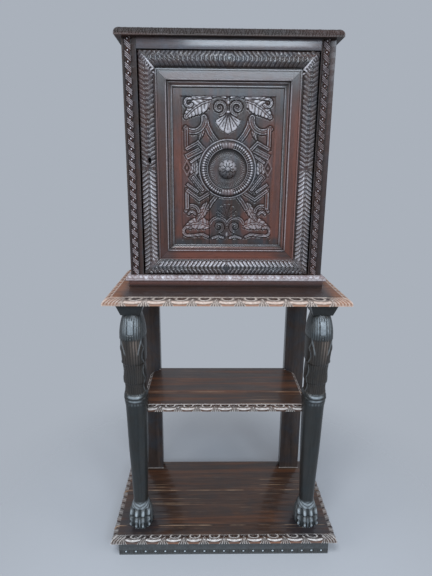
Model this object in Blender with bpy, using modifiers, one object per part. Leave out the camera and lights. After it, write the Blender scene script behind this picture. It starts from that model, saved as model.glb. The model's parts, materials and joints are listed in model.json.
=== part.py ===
"""A one-door carved oak cabinet on an open stand with two lion-paw legs, built as separate pieces.

Metres, +Z up. X runs along the front, Y from front to back, and the origin is the middle of the
footprint, on the floor.
"""

import math

import bmesh
import bpy
from mathutils import Matrix, Vector

# Gap kept between pieces that touch
SEAT = 0.0003

# Facets of every rounded edge, and the angle in degrees up to which facets are shaded as one curve
EDGE_STEPS = 4
SMOOTH_ANGLE = 40.0

# Base platform and plinth
BASE_WIDTH = 0.758
BASE_DEPTH = 0.404
BASE_THICKNESS = 0.022
BASE_EDGE = 0.021
BASE_LIP = 0.005
BASE_FRONT_BOARD = 0.059
BASE_MIDDLE_BOARD = 0.173
PLINTH_HEIGHT = 0.064
PLINTH_SETBACK = 0.022
PLINTH_BOARD = 0.024

# Stand top
STAND_HEIGHT = 0.9165
TOP_WIDTH = 0.722
TOP_THICKNESS = 0.022
TOP_EDGE = 0.027
TOP_LIP = 0.005
TOP_FRONT_BOARD = 0.202

# Legs: the axis of each leg runs through its two round tenons
LEG_X = 0.287
LEG_SETBACK = 0.084
LEG_SIDES = 48
LEG_SQUARENESS = 2.6
TOES = 4
TENON_RADIUS = 0.012
TENON_LENGTH = 0.013
CAP_HEIGHT = 0.040
CAP_TOP = (0.0425, 0.061, 0.052)
CAP_BOTTOM = (0.0295, 0.045, 0.036)
# Paw: height above the base, half width, reach to the front, reach to the back, depth between toes
PAW = (
    (0.000, 0.0375, 0.0405, 0.0435, 0.0050),
    (0.009, 0.0398, 0.0445, 0.0448, 0.0064),
    (0.022, 0.0405, 0.0450, 0.0450, 0.0068),
    (0.034, 0.0396, 0.0405, 0.0445, 0.0060),
    (0.047, 0.0378, 0.0378, 0.0422, 0.0064),
    (0.060, 0.0335, 0.0305, 0.0380, 0.0046),
    (0.074, 0.0290, 0.0250, 0.0340, 0.0018),
    (0.092, 0.0242, 0.0195, 0.0295, 0.0000),
    (0.129, 0.0252, 0.0195, 0.0305, 0.0000),
)
# Middle of the shaft: half width, reach to the front, reach to the back
SHAFT_MIDDLE = (0.0313, 0.0260, 0.0358)
# Collar, leaf and knee: depth below the top of the leg, half width, reach to the front, reach to the back
KNEE = (
    (0.301, 0.0355, 0.0325, 0.0405),
    (0.295, 0.0370, 0.0352, 0.0422),
    (0.288, 0.0366, 0.0346, 0.0418),
    (0.283, 0.0379, 0.0368, 0.0434),
    (0.275, 0.0378, 0.0366, 0.0432),
    (0.269, 0.0345, 0.0320, 0.0400),
    (0.234, 0.0340, 0.0350, 0.0405),
    (0.226, 0.0368, 0.0385, 0.0425),
    (0.189, 0.0362, 0.0420, 0.0425),
    (0.164, 0.0350, 0.0475, 0.0420),
    (0.155, 0.0388, 0.0525, 0.0440),
    (0.132, 0.0399, 0.0572, 0.0447),
    (0.109, 0.0405, 0.0610, 0.0450),
    (0.084, 0.0402, 0.0632, 0.0443),
    (0.059, 0.0393, 0.0640, 0.0430),
    (0.040, 0.0374, 0.0606, 0.0405),
    (0.024, 0.0345, 0.0550, 0.0370),
    (0.010, 0.0310, 0.0480, 0.0328),
    (0.000, 0.0285, 0.0430, 0.0300),
)

# Rear posts
POST_INNER_X = 0.240
POST_WIDTH = 0.075
POST_THICKNESS = 0.036
POST_INSET = 0.002
POST_TENON_WIDTH = 0.045
POST_TENON_THICKNESS = 0.016
POST_HOUSING = 0.006

# Shelf of the stand
SHELF_TOP = 0.528
SHELF_THICKNESS = 0.023
SHELF_SETBACK = 0.090
SHELF_EDGE = 0.014
SHELF_LIP = 0.005
SHELF_CORNER = 0.031
CORNER_STEPS = 5
SHELF_TONGUE = 0.010
SHELF_FRONT_BOARD = 0.095

# Cabinet carcass
CABINET_WIDTH = 0.598
CABINET_SETBACK = 0.148
CABINET_BACK_INSET = 0.004
CABINET_HEIGHT = 0.7335
STILE_WIDTH = 0.0405
STILE_DEPTH = 0.038
FRIEZE_HEIGHT = 0.030
SILL_HEIGHT = 0.037
RAIL_TENON_LENGTH = 0.010
RAIL_TENON_THICKNESS = 0.012
SIDE_RAIL_THICKNESS = 0.024
SIDE_TOP_RAIL = 0.060
SIDE_BOTTOM_RAIL = 0.070
SIDE_PANEL_THICKNESS = 0.010
SIDE_PANEL_SETBACK = 0.006
GROOVE_DEPTH = 0.008
FLOOR_THICKNESS = 0.018
BACK_THICKNESS = 0.014
BACK_BOARDS = ("left", "middle", "right")
INNER_SHELF_RISE = 0.335
INNER_SHELF_THICKNESS = 0.018
INNER_SHELF_SETBACK = 0.010
CLEAT_WIDTH = 0.038
CLEAT_HEIGHT = 0.020

# Cabinet top board and foot moulding
CORNICE_THICKNESS = 0.0228
CORNICE_OVERHANG = 0.018
CORNICE_EDGE = 0.020
CORNICE_LIP = 0.005
FOOT_OVERHANG = 0.015
FOOT_TIP_RISE = 0.025
FOOT_FILLET = 0.004
FOOT_NECK = 0.006
FOOT_LEDGE = 0.003

# Door
DOOR_SIDE_GAP = 0.003
DOOR_END_GAP = 0.002
DOOR_THICKNESS = 0.020
TORUS_WIDTH = 0.046
TORUS_HEIGHT = 0.012
TORUS_STEPS = 10
FLAT_WIDTH = 0.032
QUIRK = 0.0015
PANEL_THICKNESS = 0.010
PANEL_DEPTH = 0.006
PANEL_GROOVE = 0.008
PANEL_JOINT_X = -0.0535
MOULDING_OUTER = 0.004
MOULDING_INNER = 0.018
MOULDING_BEAD = 0.006
# Way across the panel moulding, and height above the frame as a share of its bead
MOULDING_PROFILE = (
    (0.00, 0.55),
    (0.11, 1.00),
    (0.22, 1.00),
    (0.31, 0.60),
    (0.36, 0.45),
    (0.55, 0.25),
    (0.77, -0.28),
    (1.00, -0.52),
)

# Medallion and rosette boss
MEDALLION_RADIUS = 0.079
DISH_RADIUS = 0.057
DISH_THICKNESS = 0.004
RING_HEIGHT = 0.014
TURNING_STEPS = 48
RING_STEPS = 8
BOSS_RADIUS = 0.027
BOSS_HEIGHT = 0.026
BOSS_STEPS = 32
# Distance from the boss's axis and height, as shares of its radius and height
BOSS_PROFILE = (
    (0.00, 1.00),
    (0.12, 0.985),
    (0.22, 0.93),
    (0.27, 0.83),
    (0.45, 0.80),
    (0.65, 0.71),
    (0.82, 0.56),
    (0.94, 0.36),
    (1.00, 0.14),
    (0.97, 0.00),
    (0.00, 0.00),
)

# Pivots of the door
PIVOT_FROM_EDGE = 0.020
PIVOT_FROM_FRONT = 0.008
PIN_RADIUS = 0.004
PIN_REACH = 0.010
PIN_COLLAR_RADIUS = 0.0065
BUSH_RADIUS = 0.007
BUSH_LENGTH = 0.010
PIN_STEPS = 24

# Lock
KEYHOLE_FROM_EDGE = 0.027
KEYHOLE_RISE = 0.346
KEYHOLE_RADIUS = 0.0052
KEYHOLE_SLOT = 0.0075
KEYHOLE_DROP = 0.0125
KEYHOLE_STEPS = 12
LOCK_WIDTH = 0.050
LOCK_HEIGHT = 0.070
LOCK_DEPTH = 0.0145
LOCK_WALL = 0.002
LOCK_FROM_EDGE = 0.010
BOLT_HEIGHT = 0.012
BOLT_THICKNESS = 0.006
BOLT_LENGTH = 0.040
BOLT_RISE = 0.019
BOLT_THROW = 0.012
BOLT_TIP_INSET = 0.0005
BOLT_OFF_DOOR = 0.004
STRIKE_CLEARANCE = 0.0015

# Places worked out from the sizes above
FRONT = -BASE_DEPTH / 2
BACK = BASE_DEPTH / 2
BASE_TOP = PLINTH_HEIGHT + BASE_THICKNESS
TOP_UNDERSIDE = STAND_HEIGHT - TOP_THICKNESS
LEG_Y = FRONT + LEG_SETBACK
LEG_TOP = TOP_UNDERSIDE - CAP_HEIGHT
POST_BACK = BACK - POST_INSET
POST_FRONT = POST_BACK - POST_THICKNESS
POST_X = POST_INNER_X + POST_WIDTH / 2
POST_Y = (POST_FRONT + POST_BACK) / 2
CABINET_FRONT = FRONT + CABINET_SETBACK
CABINET_BACK = BACK - CABINET_BACK_INSET
CABINET_SIDE = CABINET_WIDTH / 2
STILE_INNER = CABINET_SIDE - STILE_WIDTH
CORNICE_TOP = STAND_HEIGHT + CABINET_HEIGHT
CORNICE_UNDERSIDE = CORNICE_TOP - CORNICE_THICKNESS
SILL_TOP = STAND_HEIGHT + SILL_HEIGHT
FRIEZE_UNDERSIDE = CORNICE_UNDERSIDE - FRIEZE_HEIGHT
FRONT_STILE_BACK = CABINET_FRONT + STILE_DEPTH
REAR_STILE_FRONT = CABINET_BACK - STILE_DEPTH
BACK_FACE = CABINET_BACK - BACK_THICKNESS
SIDE_PANEL_OUTER = CABINET_SIDE - SIDE_PANEL_SETBACK
SIDE_PANEL_INNER = SIDE_PANEL_OUTER - SIDE_PANEL_THICKNESS
SIDE_RAIL_INNER = CABINET_SIDE - SIDE_RAIL_THICKNESS
DOOR_EDGE = STILE_INNER - DOOR_SIDE_GAP
DOOR_BOTTOM = SILL_TOP + DOOR_END_GAP
DOOR_TOP = FRIEZE_UNDERSIDE - DOOR_END_GAP
DOOR_MIDDLE = (DOOR_BOTTOM + DOOR_TOP) / 2
DOOR_BACK = CABINET_FRONT + DOOR_THICKNESS
FRAME_WIDTH = TORUS_WIDTH + FLAT_WIDTH
PANEL_FACE = CABINET_FRONT + PANEL_DEPTH
PIVOT_X = DOOR_EDGE - PIVOT_FROM_EDGE
PIVOT_Y = CABINET_FRONT + PIVOT_FROM_FRONT
KEYHOLE_X = KEYHOLE_FROM_EDGE - DOOR_EDGE
KEYHOLE_Z = DOOR_BOTTOM + KEYHOLE_RISE
LOCK_LEFT = LOCK_FROM_EDGE - DOOR_EDGE
BOLT_TIP = BOLT_TIP_INSET - DOOR_EDGE
BOLT_Y = DOOR_BACK + BOLT_OFF_DOOR + BOLT_THICKNESS / 2
BOLT_Z = KEYHOLE_Z + BOLT_RISE

# Colour, roughness and metallic value of each finish
BLACK_OAK = ("black_oak", (0.030, 0.025, 0.022), 0.38, 0.0)
BROWN_OAK = ("brown_oak", (0.085, 0.045, 0.028), 0.42, 0.0)
PLAIN_OAK = ("plain_oak", (0.120, 0.070, 0.042), 0.60, 0.0)
GREEN_BLACK_OAK = ("green_black_oak", (0.026, 0.029, 0.027), 0.34, 0.0)
IRON = ("iron", (0.090, 0.085, 0.080), 0.50, 0.9)

SIDES = ((-1, "left"), (1, "right"))


def clear_scene():
    for obj in list(bpy.data.objects):
        bpy.data.objects.remove(obj, do_unlink=True)


def new_collection(name):
    collection = bpy.data.collections.new(name)
    bpy.context.scene.collection.children.link(collection)
    return collection


def finish_material(finish):
    name, colour, roughness, metallic = finish
    material = bpy.data.materials.get(name)
    if material is None:
        material = bpy.data.materials.new(name)
        material.use_nodes = True
        shader = material.node_tree.nodes["Principled BSDF"]
        shader.inputs["Base Color"].default_value = (*colour, 1.0)
        shader.inputs["Roughness"].default_value = roughness
        shader.inputs["Metallic"].default_value = metallic
    return material


clear_scene()
parts = new_collection("credenza")
cutters = new_collection("credenza_cutters")


def add_part(name, mesh, finish, location=(0.0, 0.0, 0.0), turn=None, parent=None):
    """One sub-part, placed in world space or on its parent empty."""
    if not mesh.materials:
        mesh.materials.append(finish_material(finish))
    obj = bpy.data.objects.new(name, mesh)
    parts.objects.link(obj)
    obj.location = Vector(location)
    if turn:
        obj.rotation_euler = turn
    if parent:
        obj.parent = parent
        obj.location = Vector(location) - parent.location
    return obj


def cut(target, mesh, location=(0.0, 0.0, 0.0), turn=None):
    """Cuts the mesh out of the target with a Boolean."""
    cutter = bpy.data.objects.new(target.name + "_cutter", mesh)
    cutters.objects.link(cutter)
    cutter.location = Vector(location)
    if target.parent:
        cutter.parent = target.parent
        cutter.location = Vector(location) - target.parent.location
    if turn:
        cutter.rotation_euler = turn
    cutter.hide_render = True
    cutter.display_type = "WIRE"
    boolean = target.modifiers.new("cut", "BOOLEAN")
    boolean.object = cutter
    boolean.operation = "DIFFERENCE"
    boolean.solver = "EXACT"


def finished_mesh(name, bm):
    bmesh.ops.recalc_face_normals(bm, faces=bm.faces)
    mesh = bpy.data.meshes.new(name)
    bm.to_mesh(mesh)
    bm.free()
    return mesh


def box_mesh(name, low, high):
    """A box between two corners."""
    low = Vector(low)
    high = Vector(high)
    bm = bmesh.new()
    size = Matrix.Diagonal((*(high - low), 1.0))
    bmesh.ops.create_cube(bm, size=1.0, matrix=Matrix.Translation((low + high) / 2) @ size)
    return finished_mesh(name, bm)


def cylinder_mesh(name, radius, low, high):
    """An upright cylinder on the Z axis between two heights."""
    bm = bmesh.new()
    bmesh.ops.create_cone(
        bm,
        cap_ends=True,
        segments=PIN_STEPS,
        radius1=radius,
        radius2=radius,
        depth=high - low,
        matrix=Matrix.Translation((0.0, 0.0, (low + high) / 2)),
    )
    return finished_mesh(name, bm)


def prism_mesh(name, outline, low, high):
    """A flat outline in X and Y, extruded from one height to another."""
    bm = bmesh.new()
    corners = [bm.verts.new((x, y, low)) for x, y in outline]
    face = bm.faces.new(corners)
    grown = bmesh.ops.extrude_face_region(bm, geom=[face])
    moved = [item for item in grown["geom"] if isinstance(item, bmesh.types.BMVert)]
    bmesh.ops.translate(bm, verts=moved, vec=(0.0, 0.0, high - low))
    return finished_mesh(name, bm)


def bar_mesh(name, section, length, lean, start=0.0, end=0.0):
    """A moulding along X with a section in Y and Z.

    Its ends lean with Y (lean 0) or with Z (lean 1), so that they meet in mitres.
    """
    bm = bmesh.new()
    corners = [bm.verts.new((-length / 2, y, z)) for y, z in section]
    face = bm.faces.new(corners)
    grown = bmesh.ops.extrude_face_region(bm, geom=[face])
    moved = [item for item in grown["geom"] if isinstance(item, bmesh.types.BMVert)]
    bmesh.ops.translate(bm, verts=moved, vec=(length, 0.0, 0.0))
    for vert in bm.verts:
        slope = end if vert.co.x > 0.0 else start
        vert.co.x += slope * vert.co[1 + lean]
    return finished_mesh(name, bm)


def loft_mesh(name, rings):
    """A skin through closed rings with equal counts of points, capped at both ends."""
    bm = bmesh.new()
    loops = [[bm.verts.new(point) for point in ring] for ring in rings]
    count = len(rings[0])
    for lower, upper in zip(loops, loops[1:]):
        for index in range(count):
            after = (index + 1) % count
            bm.faces.new((lower[index], lower[after], upper[after], upper[index]))
    bm.faces.new(loops[0])
    bm.faces.new(loops[-1])
    return finished_mesh(name, bm)


def turned_part(name, profile, steps, finish, location, turn=None, parent=None, ring=False):
    """A turned piece: points of radius and height, from the top down, spun round Z."""
    mesh = bpy.data.meshes.new(name)
    points = [(radius, 0.0, height) for radius, height in profile]
    edges = [(index, index + 1) for index in range(len(points) - 1)]
    if ring:
        edges.append((len(points) - 1, 0))
    mesh.from_pydata(points, edges, [])
    obj = add_part(name, mesh, finish, location, turn, parent)
    screw = obj.modifiers.new("turned", "SCREW")
    screw.steps = steps
    screw.render_steps = steps
    screw.use_merge_vertices = True
    screw.merge_threshold = 0.0001
    return obj


def smooth(mesh):
    mesh.shade_smooth()
    mesh.set_sharp_from_angle(angle=math.radians(SMOOTH_ANGLE))


def ovolo(edge, lip, thickness):
    """Inset and height of a rounded edge that rises from a small lip."""
    profile = [(0.0, 0.0)]
    for step in range(EDGE_STEPS + 1):
        angle = math.pi / 2 * step / EDGE_STEPS
        profile.append((edge * (1.0 - math.cos(angle)), lip + (thickness - lip) * math.sin(angle)))
    return profile


def board_mesh(name, half_width, front, back, underside, profile, front_moulded, back_moulded=False):
    """A board whose two ends, and whose long edges where asked, follow an edge profile."""
    rings = []
    for inset, rise in profile:
        x = half_width - inset
        near = front + inset * front_moulded
        far = back - inset * back_moulded
        z = underside + rise
        rings.append([(-x, near, z), (x, near, z), (x, far, z), (-x, far, z)])
    return loft_mesh(name, rings)


def leg_stations(low, high):
    """Every level of the leg from the base to its cap, with its height in place of its rise or drop."""
    paw = [(low + rise, *sizes) for rise, *sizes in PAW]
    knee = [(high - drop, *sizes, 0.0) for drop, *sizes in KNEE]
    middle = (paw[-1][0] + knee[0][0]) / 2
    return paw + [(middle, *SHAFT_MIDDLE, 0.0)] + knee


def leg_ring(station, grow):
    """One level section of the leg: a rounded square, drawn in between the toes across its front."""
    z, half_width, forward, backward, toe_depth = station
    ring = []
    for side in range(LEG_SIDES):
        angle = 2.0 * math.pi * side / LEG_SIDES
        across = math.cos(angle)
        along = math.sin(angle)
        across = math.copysign(abs(across) ** (2.0 / LEG_SQUARENESS), across)
        along = math.copysign(abs(along) ** (2.0 / LEG_SQUARENESS), along)
        between_toes = 1.0 - abs(math.sin(math.pi * TOES / 2 * across))
        drawn_in = toe_depth * between_toes * max(0.0, -along)
        swell = 1.0 + (grow - drawn_in) / half_width
        middle = (backward - forward) / 2
        y = middle + along * (backward + forward) / 2
        ring.append((across * half_width * swell, y * swell, z))
    return ring


def tenon_ring(radius, z):
    turn = 2.0 * math.pi / LEG_SIDES
    return [(radius * math.cos(turn * side), radius * math.sin(turn * side), z) for side in range(LEG_SIDES)]


def leg_mesh(name, grow=0.0):
    """The whole leg round its own axis: lower tenon, paw, shaft, collar, leaf, knee, upper tenon."""
    low = BASE_TOP + SEAT
    high = LEG_TOP - SEAT
    rings = [tenon_ring(TENON_RADIUS, low - TENON_LENGTH), tenon_ring(TENON_RADIUS, low)]
    rings += [leg_ring(station, grow) for station in leg_stations(low, high)]
    rings += [tenon_ring(TENON_RADIUS, high), tenon_ring(TENON_RADIUS, TOP_UNDERSIDE + TENON_LENGTH)]
    mesh = loft_mesh(name, rings)
    smooth(mesh)
    return mesh


def build_plinth():
    """Four boards under the base: the front and back ones run between the sides."""
    side = BASE_WIDTH / 2 - PLINTH_SETBACK
    front = FRONT + PLINTH_SETBACK
    back = BACK - PLINTH_SETBACK
    top = PLINTH_HEIGHT - SEAT
    inner = side - PLINTH_BOARD - SEAT
    front_mesh = box_mesh("plinth_front", (-side, front, 0.0), (side, front + PLINTH_BOARD, top))
    add_part("plinth_front", front_mesh, GREEN_BLACK_OAK)
    back_mesh = box_mesh("plinth_back", (-inner, back - PLINTH_BOARD, 0.0), (inner, back, top))
    add_part("plinth_back", back_mesh, PLAIN_OAK)
    for sign, word in SIDES:
        name = f"plinth_{word}"
        low = (min(sign * side, sign * (side - PLINTH_BOARD)), front + PLINTH_BOARD + SEAT, 0.0)
        high = (max(sign * side, sign * (side - PLINTH_BOARD)), back, top)
        add_part(name, box_mesh(name, low, high), GREEN_BLACK_OAK)


def build_base():
    profile = ovolo(BASE_EDGE, BASE_LIP, BASE_THICKNESS)
    half = BASE_WIDTH / 2
    first = FRONT + BASE_FRONT_BOARD
    second = first + BASE_MIDDLE_BOARD
    front_mesh = board_mesh("base_front_board", half, FRONT, first, PLINTH_HEIGHT, profile, True)
    add_part("base_front_board", front_mesh, BROWN_OAK)
    middle_mesh = board_mesh("base_middle_board", half, first + SEAT, second, PLINTH_HEIGHT, profile, False)
    middle = add_part("base_middle_board", middle_mesh, BROWN_OAK)
    rear_mesh = board_mesh("base_rear_board", half, second + SEAT, BACK, PLINTH_HEIGHT, profile, False)
    rear = add_part("base_rear_board", rear_mesh, BROWN_OAK)
    for sign, _ in SIDES:
        cut_leg_mortise(middle, sign, BASE_TOP - TENON_LENGTH - SEAT, BASE_TOP + TENON_LENGTH)
        cut_post_mortise(rear, sign, BASE_TOP - TENON_LENGTH - SEAT, BASE_TOP + TENON_LENGTH)


def build_top():
    profile = ovolo(TOP_EDGE, TOP_LIP, TOP_THICKNESS)
    half = TOP_WIDTH / 2
    joint = FRONT + TOP_FRONT_BOARD
    front_mesh = board_mesh("top_front_board", half, FRONT, joint, TOP_UNDERSIDE, profile, True)
    front = add_part("top_front_board", front_mesh, BLACK_OAK)
    rear_mesh = board_mesh("top_rear_board", half, joint + SEAT, BACK, TOP_UNDERSIDE, profile, False)
    rear = add_part("top_rear_board", rear_mesh, BLACK_OAK)
    low = TOP_UNDERSIDE - TENON_LENGTH
    high = TOP_UNDERSIDE + TENON_LENGTH + SEAT
    for sign, _ in SIDES:
        cut_leg_mortise(front, sign, low, high)
        cut_post_mortise(rear, sign, low, high)


def cut_leg_mortise(board, sign, low, high):
    hole = cylinder_mesh("leg_mortise", TENON_RADIUS + SEAT, low, high)
    cut(board, hole, (sign * LEG_X, LEG_Y, 0.0))


def cut_post_mortise(board, sign, low, high):
    half_width = POST_TENON_WIDTH / 2 + SEAT
    half_depth = POST_TENON_THICKNESS / 2 + SEAT
    slot = box_mesh("post_mortise", (-half_width, -half_depth, low), (half_width, half_depth, high))
    cut(board, slot, (sign * POST_X, POST_Y, 0.0))


def cap_ring(size, z):
    half_width, forward, backward = size
    return [
        (-half_width, -forward, z),
        (half_width, -forward, z),
        (half_width, backward, z),
        (-half_width, backward, z),
    ]


def build_legs():
    for sign, word in SIDES:
        place = (sign * LEG_X, LEG_Y, 0.0)
        add_part(f"{word}_leg", leg_mesh(f"{word}_leg"), GREEN_BLACK_OAK, place)
        rings = [cap_ring(CAP_BOTTOM, LEG_TOP), cap_ring(CAP_TOP, TOP_UNDERSIDE - SEAT)]
        cap = add_part(f"{word}_leg_cap", loft_mesh("leg_cap", rings), GREEN_BLACK_OAK, place)
        low = LEG_TOP - CAP_HEIGHT
        high = TOP_UNDERSIDE + CAP_HEIGHT
        cut(cap, cylinder_mesh("cap_hole", TENON_RADIUS + SEAT, low, high), place)


def rectangle_ring(half_width, half_depth, z):
    return [
        (-half_width, -half_depth, z),
        (half_width, -half_depth, z),
        (half_width, half_depth, z),
        (-half_width, half_depth, z),
    ]


def build_posts():
    """Plain rear posts, tenoned into base and top, with a housing for the shelf in the inner face."""
    low = BASE_TOP + SEAT
    high = TOP_UNDERSIDE - SEAT
    tenon = (POST_TENON_WIDTH / 2, POST_TENON_THICKNESS / 2)
    body = (POST_WIDTH / 2, POST_THICKNESS / 2)
    rings = [
        rectangle_ring(*tenon, low - TENON_LENGTH),
        rectangle_ring(*tenon, low),
        rectangle_ring(*body, low),
        rectangle_ring(*body, high),
        rectangle_ring(*tenon, high),
        rectangle_ring(*tenon, TOP_UNDERSIDE + TENON_LENGTH),
    ]
    for sign, word in SIDES:
        name = f"{word}_post"
        post = add_part(name, loft_mesh(name, rings), BLACK_OAK, (sign * POST_X, POST_Y, 0.0))
        inner = sign * (POST_INNER_X - POST_HOUSING)
        outer = sign * (POST_INNER_X + POST_HOUSING)
        near = POST_FRONT - SHELF_TONGUE
        far = POST_FRONT + SHELF_TONGUE + SEAT
        low_corner = (min(inner, outer), near, SHELF_TOP - SHELF_THICKNESS - SEAT)
        high_corner = (max(inner, outer), far, SHELF_TOP + SEAT)
        cut(post, box_mesh("shelf_housing", low_corner, high_corner))


def rear_shelf_ring(inset, z, joint):
    """Outline of the rear shelf board: round corners in front of the posts, then a tongue between them."""
    tongue = POST_INNER_X + POST_HOUSING - SEAT
    corner_y = POST_FRONT - SEAT - SHELF_CORNER
    radius = SHELF_CORNER - inset
    right = [(tongue + radius, joint, z)]
    for step in range(CORNER_STEPS + 1):
        angle = math.pi / 2 * step / CORNER_STEPS
        right.append((tongue + radius * math.cos(angle), corner_y + radius * math.sin(angle), z))
    right.append((tongue, POST_FRONT + SHELF_TONGUE, z))
    left = [(-x, y, height) for x, y, height in reversed(right)]
    return right + left


def build_shelf():
    profile = ovolo(SHELF_EDGE, SHELF_LIP, SHELF_THICKNESS)
    underside = SHELF_TOP - SHELF_THICKNESS
    front = FRONT + SHELF_SETBACK
    joint = front + SHELF_FRONT_BOARD
    half = POST_INNER_X + POST_HOUSING - SEAT + SHELF_CORNER
    front_mesh = board_mesh("shelf_front_board", half, front, joint - SEAT, underside, profile, True)
    board = add_part("shelf_front_board", front_mesh, BROWN_OAK)
    for sign, _ in SIDES:
        cut(board, leg_mesh("leg_notch", SEAT), (sign * LEG_X, LEG_Y, 0.0))
    rings = [rear_shelf_ring(inset, underside + rise, joint) for inset, rise in profile]
    add_part("shelf_rear_board", loft_mesh("shelf_rear_board", rings), BROWN_OAK)


def stile_outline(sign, near, far, groove_in_back):
    """Plan of a corner stile with the groove that holds the side panel and the rails' stub tenons."""
    deep = GROOVE_DEPTH + SEAT
    face = far if groove_in_back else near
    floor = far - deep if groove_in_back else near + deep
    groove = [
        (SIDE_PANEL_OUTER + SEAT, face),
        (SIDE_PANEL_OUTER + SEAT, floor),
        (SIDE_PANEL_INNER - SEAT, floor),
        (SIDE_PANEL_INNER - SEAT, face),
    ]
    plain = near if groove_in_back else far
    corners = [(STILE_INNER, plain), (CABINET_SIDE, plain), (CABINET_SIDE, face)]
    outline = corners + groove + [(STILE_INNER, face)]
    return [(sign * x, y) for x, y in outline]


def cut_rail_mortise(stile, sign, low, high):
    inner = sign * (STILE_INNER - RAIL_TENON_LENGTH)
    outer = sign * (STILE_INNER + RAIL_TENON_LENGTH + SEAT)
    half = RAIL_TENON_THICKNESS / 2 + SEAT
    middle = (CABINET_FRONT + FRONT_STILE_BACK) / 2
    low_corner = (min(inner, outer), middle - half, low - SEAT)
    high_corner = (max(inner, outer), middle + half, high + SEAT)
    cut(stile, box_mesh("rail_mortise", low_corner, high_corner))


def build_stiles():
    low = STAND_HEIGHT + SEAT
    high = CORNICE_UNDERSIDE - SEAT
    for sign, word in SIDES:
        outline = stile_outline(sign, CABINET_FRONT, FRONT_STILE_BACK, True)
        name = f"{word}_front_stile"
        stile = add_part(name, prism_mesh(name, outline, low, high), BLACK_OAK)
        cut_rail_mortise(stile, sign, FRIEZE_UNDERSIDE, high + STILE_WIDTH)
        cut_rail_mortise(stile, sign, low - STILE_WIDTH, SILL_TOP)
        if sign < 0:
            cut_strike(stile)
        outline = stile_outline(sign, REAR_STILE_FRONT, CABINET_BACK, False)
        name = f"{word}_rear_stile"
        add_part(name, prism_mesh(name, outline, low, high), PLAIN_OAK)


def cut_strike(stile):
    """The pocket in the left stile that takes the lock's bolt."""
    reach = -(BOLT_TIP - BOLT_THROW) + STRIKE_CLEARANCE
    half_height = BOLT_HEIGHT / 2 + STRIKE_CLEARANCE
    half_depth = BOLT_THICKNESS / 2 + STRIKE_CLEARANCE
    low = (-reach, BOLT_Y - half_depth, BOLT_Z - half_height)
    high = (-DOOR_EDGE, BOLT_Y + half_depth, BOLT_Z + half_height)
    cut(stile, box_mesh("strike_pocket", low, high))


def build_front_rails():
    """Frieze rail above the door and bottom rail under it, with tenons into the front stiles."""
    shoulder = STILE_INNER - SEAT
    tip = shoulder + RAIL_TENON_LENGTH
    middle = (CABINET_FRONT + FRONT_STILE_BACK) / 2
    half = RAIL_TENON_THICKNESS / 2
    right = [
        (shoulder, CABINET_FRONT),
        (shoulder, middle - half),
        (tip, middle - half),
        (tip, middle + half),
        (shoulder, middle + half),
        (shoulder, FRONT_STILE_BACK),
    ]
    outline = right + [(-x, y) for x, y in reversed(right)]
    frieze_mesh = prism_mesh("frieze_rail", outline, FRIEZE_UNDERSIDE, CORNICE_UNDERSIDE - SEAT)
    frieze = add_part("frieze_rail", frieze_mesh, BLACK_OAK)
    sill_mesh = prism_mesh("bottom_rail", outline, STAND_HEIGHT + SEAT, SILL_TOP)
    sill = add_part("bottom_rail", sill_mesh, PLAIN_OAK)
    radius = PIN_RADIUS + SEAT
    reach = PIN_REACH + SEAT
    upper = cylinder_mesh("upper_pin_hole", radius, FRIEZE_UNDERSIDE - reach, FRIEZE_UNDERSIDE + reach)
    cut(frieze, upper, (PIVOT_X, PIVOT_Y, 0.0))
    lower = cylinder_mesh("lower_pin_hole", radius, SILL_TOP - reach, SILL_TOP + reach)
    cut(sill, lower, (PIVOT_X, PIVOT_Y, 0.0))


def build_sides():
    """Each side is two rails with stub tenons and a flat panel, held in the grooves of the stiles."""
    near = FRONT_STILE_BACK + SEAT
    far = REAR_STILE_FRONT - SEAT
    tongue = GROOVE_DEPTH - SEAT
    inner = SIDE_PANEL_INNER
    outer = SIDE_PANEL_OUTER
    top_low = CORNICE_UNDERSIDE - SIDE_TOP_RAIL
    bottom_high = STAND_HEIGHT + SIDE_BOTTOM_RAIL
    outline = [
        (SIDE_RAIL_INNER, near),
        (inner, near),
        (inner, near - tongue),
        (outer, near - tongue),
        (outer, near),
        (CABINET_SIDE, near),
        (CABINET_SIDE, far),
        (outer, far),
        (outer, far + tongue),
        (inner, far + tongue),
        (inner, far),
        (SIDE_RAIL_INNER, far),
    ]
    levels = (
        ("top", top_low, CORNICE_UNDERSIDE - SEAT, top_low),
        ("bottom", STAND_HEIGHT + SEAT, bottom_high, bottom_high),
    )
    for sign, word in SIDES:
        plan = [(sign * x, y) for x, y in outline]
        for level, low, high, edge in levels:
            name = f"{word}_side_{level}_rail"
            rail = add_part(name, prism_mesh(name, plan, low, high), BLACK_OAK)
            low_x = min(sign * (inner - SEAT), sign * (outer + SEAT))
            high_x = max(sign * (inner - SEAT), sign * (outer + SEAT))
            depth = GROOVE_DEPTH + SEAT
            low_corner = (low_x, near - STILE_DEPTH, edge - depth)
            high_corner = (high_x, far + STILE_DEPTH, edge + depth)
            cut(rail, box_mesh("panel_groove", low_corner, high_corner))
        name = f"{word}_side_panel"
        low_corner = (min(sign * inner, sign * outer), near - tongue, bottom_high - tongue)
        high_corner = (max(sign * inner, sign * outer), far + tongue, top_low + tongue)
        add_part(name, box_mesh(name, low_corner, high_corner), BLACK_OAK)


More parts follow.
